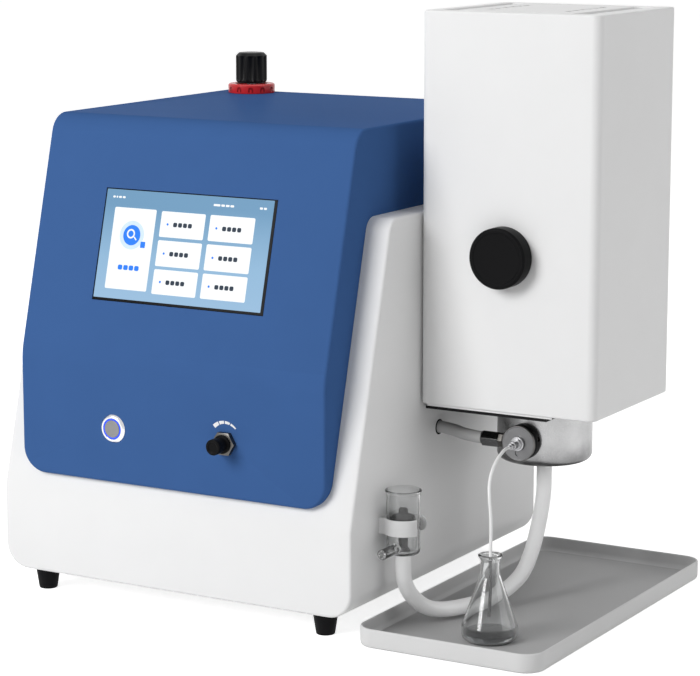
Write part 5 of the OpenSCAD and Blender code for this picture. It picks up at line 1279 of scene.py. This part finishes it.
# %% Clip band, tail and wall pad
BAND_LOW, BAND_HIGH, BAND_R, BAND_T = 77.5, 89.9, 13.05, 1.35
BAND_START, BAND_END = radians(90), radians(346)
BAND_STEPS = 72


def strap(path, thickness, low, high):
    """Points and faces of an upright strap whose inner edge follows a path seen from above."""
    inner, outer = [], []
    for i, point in enumerate(path):
        ahead = (path[min(i + 1, len(path) - 1)] - path[max(i - 1, 0)]).normalized()
        side = Vector((ahead.y, -ahead.x))
        inner.append(point)
        outer.append(point + side * thickness)
    return drawn(inner + outer[::-1], low, high)


band_angles = [BAND_START + (BAND_END - BAND_START) * k / BAND_STEPS for k in range(BAND_STEPS + 1)]
band_path = [Vector((CUP[0] + BAND_R * cos(a), CUP[1] + BAND_R * sin(a))) for a in band_angles]
clip_band = make("cup_clip_band", *strap(band_path, BAND_T, BAND_LOW, BAND_HIGH), clip_white, slot="clip_plastic",
                 replaces=["cup_clip"])
round_edges(clip_band, 0.3, 2, 50)
TAIL_X, TAIL_Y = 28.95, CUP[1] + BAND_R
TAIL_START, TAIL_R = CUP[0] - 1, 6.1
tail = rounded([(TAIL_START, BAND_LOW, 0), (TAIL_X, BAND_LOW, TAIL_R), (TAIL_X, BAND_HIGH, TAIL_R),
                (TAIL_START, BAND_HIGH, 0)], 12)
clip_tail = extruded("cup_clip_tail", tail, TAIL_Y, TAIL_Y + BAND_T, "XZ", clip_white, slot="clip_plastic")
round_edges(clip_tail, 0.3, 2, 50)
PAD_LOW, PAD_HIGH, PAD_BACK, PAD_FACE, PAD_FOOT = 41.7, 65.9, 0.05, 1.8, 7
pad = rounded([(PAD_BACK, PAD_LOW, 0.3), (PAD_FOOT, PAD_LOW, 0.3), (PAD_FOOT, PAD_LOW + BAND_T, 0.3),
               (PAD_FACE, PAD_LOW + BAND_T, 0.6), (PAD_FACE, PAD_HIGH, 0.4), (PAD_BACK, PAD_HIGH, 0.2)], 4)
clip_pad = extruded("cup_clip_pad", pad, BAND_LOW, BAND_HIGH, "XY", clip_white, slot="clip_plastic")
round_edges(clip_pad, 0.25, 2, 50)
print("clip band height in mm:", round(BAND_HIGH - BAND_LOW, 1))

# %% [markdown]
# ## The flask
# A 25 ml conical flask stands in the tray. Its wall is even, its base is slightly domed up in the middle
# and its lip is rolled. A few millimetres of clear sample lie in it.

# %% Conical flask with its sample
FLASK = (86, 58.7)
FLASK_BASE, FLASK_WALL = 3.05, 1.25
BELLY_R, NECK_R, LIP_R, FLASK_H = 21.6, 7.25, 9.0, 65.8


def flask_skin(wall):
    """The flask's outline from base to lip, moved in by wall, as profile corners."""
    return [(BELLY_R - 4.0 - wall, FLASK_BASE + wall, 0), (BELLY_R - wall, FLASK_BASE + wall, 5.5 - wall),
            (BELLY_R - 0.6 - wall, FLASK_BASE + 11.5, 5.0), (NECK_R + 0.3 - wall, FLASK_BASE + 50.0, 9.0),
            (NECK_R - wall, FLASK_BASE + 61.5, 2.0)]


flask_corners = [(0, FLASK_BASE + 0.9, 0)] + flask_skin(0) + [
    (LIP_R, FLASK_BASE + 63.8, 0.7), (LIP_R + 0.5, FLASK_BASE + FLASK_H, 0.8), (NECK_R - 0.4, FLASK_BASE + 65.7, 0.8)]
flask_corners += flask_skin(FLASK_WALL)[::-1] + [(0, FLASK_BASE + 0.9 + FLASK_WALL, 0)]
lathed("flask_glass", flask_corners, (*FLASK, 0), "Z", lab_glass, "sample_flask", "clear_glass", ["flask"], 112, 8)
LIQUID_TOP = 9.5
liquid = glass("clear_sample", (0.22, 0.225, 0.23), 20, 0.002)
lathed("flask_sample_liquid", [(0, FLASK_BASE + 2.2, 0), (BELLY_R - 5.6, FLASK_BASE + 1.35, 0),
                               (BELLY_R - FLASK_WALL - 0.1, FLASK_BASE + 1.4, 4.2),
                               (BELLY_R - FLASK_WALL - 0.4, LIQUID_TOP, 0.1), (0, LIQUID_TOP - 0.3, 0)],
       (*FLASK, 0), "Z", liquid, "sample_flask", "clear_glass", (), 96, 6)
print("flask height in mm:", FLASK_H)

# %% [markdown]
# ## The tray
# The tray is vacuum formed: a flat floor, walls that rise in a soft curve, and an even rim. It is lofted
# through outlines that follow its section, up the outside, over the rim and down the inside.

# %% Tray section and loft
TRAY_LOW, TRAY_HIGH, TRAY_R, TRAY_H, TRAY_WALL, TRAY_FLOOR = (0.3, 1.85), (151.7, 315.75), 16.0, 14.95, 2.0, 3.0
outside = [(2.6, 0.02), (0.9, 0.5), (0.15, 1.8), (0, 3.4), (0, 13.9), (0.25, 14.6), (0.8, TRAY_H)]
TURN_R = 4.2
inner_turn = [(TRAY_WALL + TURN_R * (1 - cos(a)), TRAY_FLOOR + TURN_R * (1 - sin(a)))
              for a in (pi / 2 * k / 8 for k in range(9))]
inside = [(TRAY_WALL - 0.8, TRAY_H), (TRAY_WALL - 0.2, 14.6), (TRAY_WALL, 13.9)] + inner_turn
tray_loops = [[(p.x, p.y, z) for p in inset_box(TRAY_LOW, TRAY_HIGH, inset, TRAY_R, 16)]
              for inset, z in outside + inside]
tray_mesh = make("tray_formed", *lofted(tray_loops), tray_grey, slot="tray_plastic", replaces=["tray"],
                 smooth_below=50)
tray_mesh.data.materials.append(tray_floor_painted_shade)
tray_mesh.data.materials.append(tray_wall_painted_shade)
TRAY_MIDDLE = Vector(((TRAY_LOW[0] + TRAY_HIGH[0]) / 2, (TRAY_LOW[1] + TRAY_HIGH[1]) / 2, 0))
# faces inside the tray get the darker copies: painted shade on the floor and on the inner walls
for face in tray_mesh.data.polygons:
    centre = (face.center - CORNER) / MM
    inward = TRAY_MIDDLE - Vector((centre.x, centre.y, 0))
    if face.normal.z > 0.9 and centre.z < TRAY_H - 2:
        face.material_index = 1
    elif centre.z < TRAY_H - 0.6 and face.normal.z > -0.1 and face.normal.dot(inward) > 0.2 * inward.length:
        face.material_index = 2
print("tray faces:", len(tray_mesh.data.polygons))

# %% [markdown]
# ## Feet
# The cabinet stands on four tapered rubber feet. Each has a rounded sole, a flange at the sheet and a
# screw seat in the middle, and they are one turned profile, used four times.

# %% Four feet
FEET = ((-292.7, 20), (-33.4, 20), (-267.7, 290), (-58.4, 290))
for number, spot in enumerate(FEET, 1):
    lathed(f"rubber_foot_{number}",
           [(2.6, 0.05, 0), (7.2, 0.02, 0.9), (9.75, 16.6, 0.6), (9.95, 17.2, 0.4), (9.95, 18.95, 0.5),
            (2.6, 18.95, 0)],
           (*spot, 0), "Z", rubber_black, slot="black_rubber", replaces=["feet"] if number == 1 else (), steps=64)
print("feet:", len(FEET))

# %% [markdown]
# ## The back
# The rear panel is a flat sheet with punched slots. It could be drawn again here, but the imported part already
# has its exact shape, so it keeps that and only gets its coat. Pan head screws, a mains inlet with a rocker
# and two hose spigots sit on it. The screws and the spigots are turned, because their outlines are profiles.

# %% Rear panel and its pan head screws
dress("rear_panel", white_coat)
SCREW_X, SCREW_Z = (-309, -10), (60, 165, 270)
HEAD_TURNS = (0.3, 1.1, 0.75, 0.1, 1.35, 0.55)


def cross_cut(x, z, turn):
    """Two loose bars that cut a cross recess into a screw head."""
    bars = []
    for extra in (0, pi / 2):
        along, aside = Vector((cos(turn + extra), sin(turn + extra))), Vector((-sin(turn + extra), cos(turn + extra)))
        corners = [a * 1.9 * along + b * 0.42 * aside for a, b in ((-1, -1), (1, -1), (1, 1), (-1, 1))]
        bars.append(solid([(x + c.x, z + c.y) for c in corners], 308.7, 312, "XZ"))
    return bars


for number, (x, z) in enumerate([(x, z) for x in SCREW_X for z in SCREW_Z], 1):
    head = lathed(f"rear_screw_{number}", [(0, 302.1, 0), (1.9, 302.1, 0.3), (1.9, 308.02, 0), (3.15, 308.02, 0.15),
                                           (3.15, 308.7, 0.9), (1.9, 309.75, 0.6), (0, 309.78, 0)], (x, 0, z), "Y",
                  nut_plate, slot="bright_steel", replaces=["rear_screws"] if number == 1 else (), steps=48)
    cut(head, cross_cut(x, z, HEAD_TURNS[number - 1]))
print("rear screws:", number)

# %% [markdown]
# ### Inlet, rocker and spigots
# The inlet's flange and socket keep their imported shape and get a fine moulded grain. A spigot is turned from
# one bar: a hexagon against the panel, then a tube with three barbs that hold a hose.

# %% Inlet, rocker and spigots
dress("power_inlet", black_matt)
dress("rocker_switch", rocker_red)
SPIGOT_Z, SPIGOT_R, PANEL_FACE = 60, 7.9, 308
for name, x in (("gas", -120), ("air", -70)):
    nut = extruded(f"{name}_spigot_hexagon", hexagon((x, SPIGOT_Z), SPIGOT_R), PANEL_FACE + 0.05, PANEL_FACE + 5.9,
                   "XZ", machined_brass, slot="brass", replaces=["rear_spigots"] if name == "gas" else ())
    round_edges(nut, 0.4, 3)
    barbs = [(2.6, 296.1, 0), (3.9, 296.1, 0.3), (3.9, 314.0, 0), (3.2, 314.2, 0.2)]
    for start in (319.0, 324.2, 329.0):
        barbs += [(3.2, start - 0.4, 0.2), (3.95, start, 0.15), (3.2, start + 3.6, 0.2)]
    barbs += [(3.1, 333.6, 0.3), (2.6, 333.9, 0.1)]
    lathed(f"{name}_spigot_barbed_tube", barbs, (x, 0, SPIGOT_Z), "Y", machined_brass, slot="brass", steps=64)
print("spigot hexagon across corners in mm:", 2 * SPIGOT_R)

# %% [markdown]
# ## Pieces inside
# Most of what works in the instrument is hidden by its sheets. These pieces keep their imported shapes, since
# nobody sees them unless a panel is taken off, and each gets the finish of what it is made of: zinc plated
# steel, lacquered board, brass, ceramic, black moulding and glass. The chamber bracket under the chimney
# is the exception: it is coloured near black as painted shade.

# %% Finishes of the inner pieces
INNER = {"base_plate": zinc_sheet, "display_module": inner_dark, "burner_head": burner_steel,
         "flame_glass": heat_glass, "igniter_electrode": ceramic_cream, "optics_block": black_matt,
         "optics_lens": blue_window, "optical_filter": amber_filter, "light_detector": inner_dark,
         "main_board": board_green, "power_supply": zinc_sheet, "igniter_transformer": black_satin,
         "gas_solenoid": machined_brass, "inner_tubes": tube_blue, "chamber_bracket": bracket_painted_shade}
for node, finish in INNER.items():
    dress(node, finish)
print("dressed inner nodes:", len(INNER))

# %% [markdown]
# ### The regulator's spring
# A steel spring presses on the regulator's seat, and it grows shorter as the stem is screwed in. The coil
# is drawn as one tube along a helix that fills the spring's imported box, from the housing up to the seat.

# %% Spring between housing and seat
spring_low, spring_high = box_mm("regulator_spring")
WIRE_R, SPRING_TURNS, PER_TURN = 0.9, 5, 24
spring_x, spring_y = (spring_low.x + spring_high.x) / 2, (spring_low.y + spring_high.y) / 2
SPRING_R = (spring_high.y - spring_low.y) / 2 - WIRE_R
spring_rise = spring_high.z - spring_low.z - 2 * WIRE_R
spring_line = [(spring_x + SPRING_R * cos(2 * pi * k / PER_TURN), spring_y + SPRING_R * sin(2 * pi * k / PER_TURN),
                spring_low.z + WIRE_R + spring_rise * k / (SPRING_TURNS * PER_TURN))
               for k in range(SPRING_TURNS * PER_TURN + 1)]
spring = make("regulator_spring_coil", *tube(spring_line, WIRE_R, 10, (0, 0, 1)), fitting_steel, body=None,
              slot="bright_steel", replaces=["regulator_spring"], smooth_below=60)
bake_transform(spring)
print("spring radius and rise in mm:", round(SPRING_R, 2), round(spring_rise, 2))
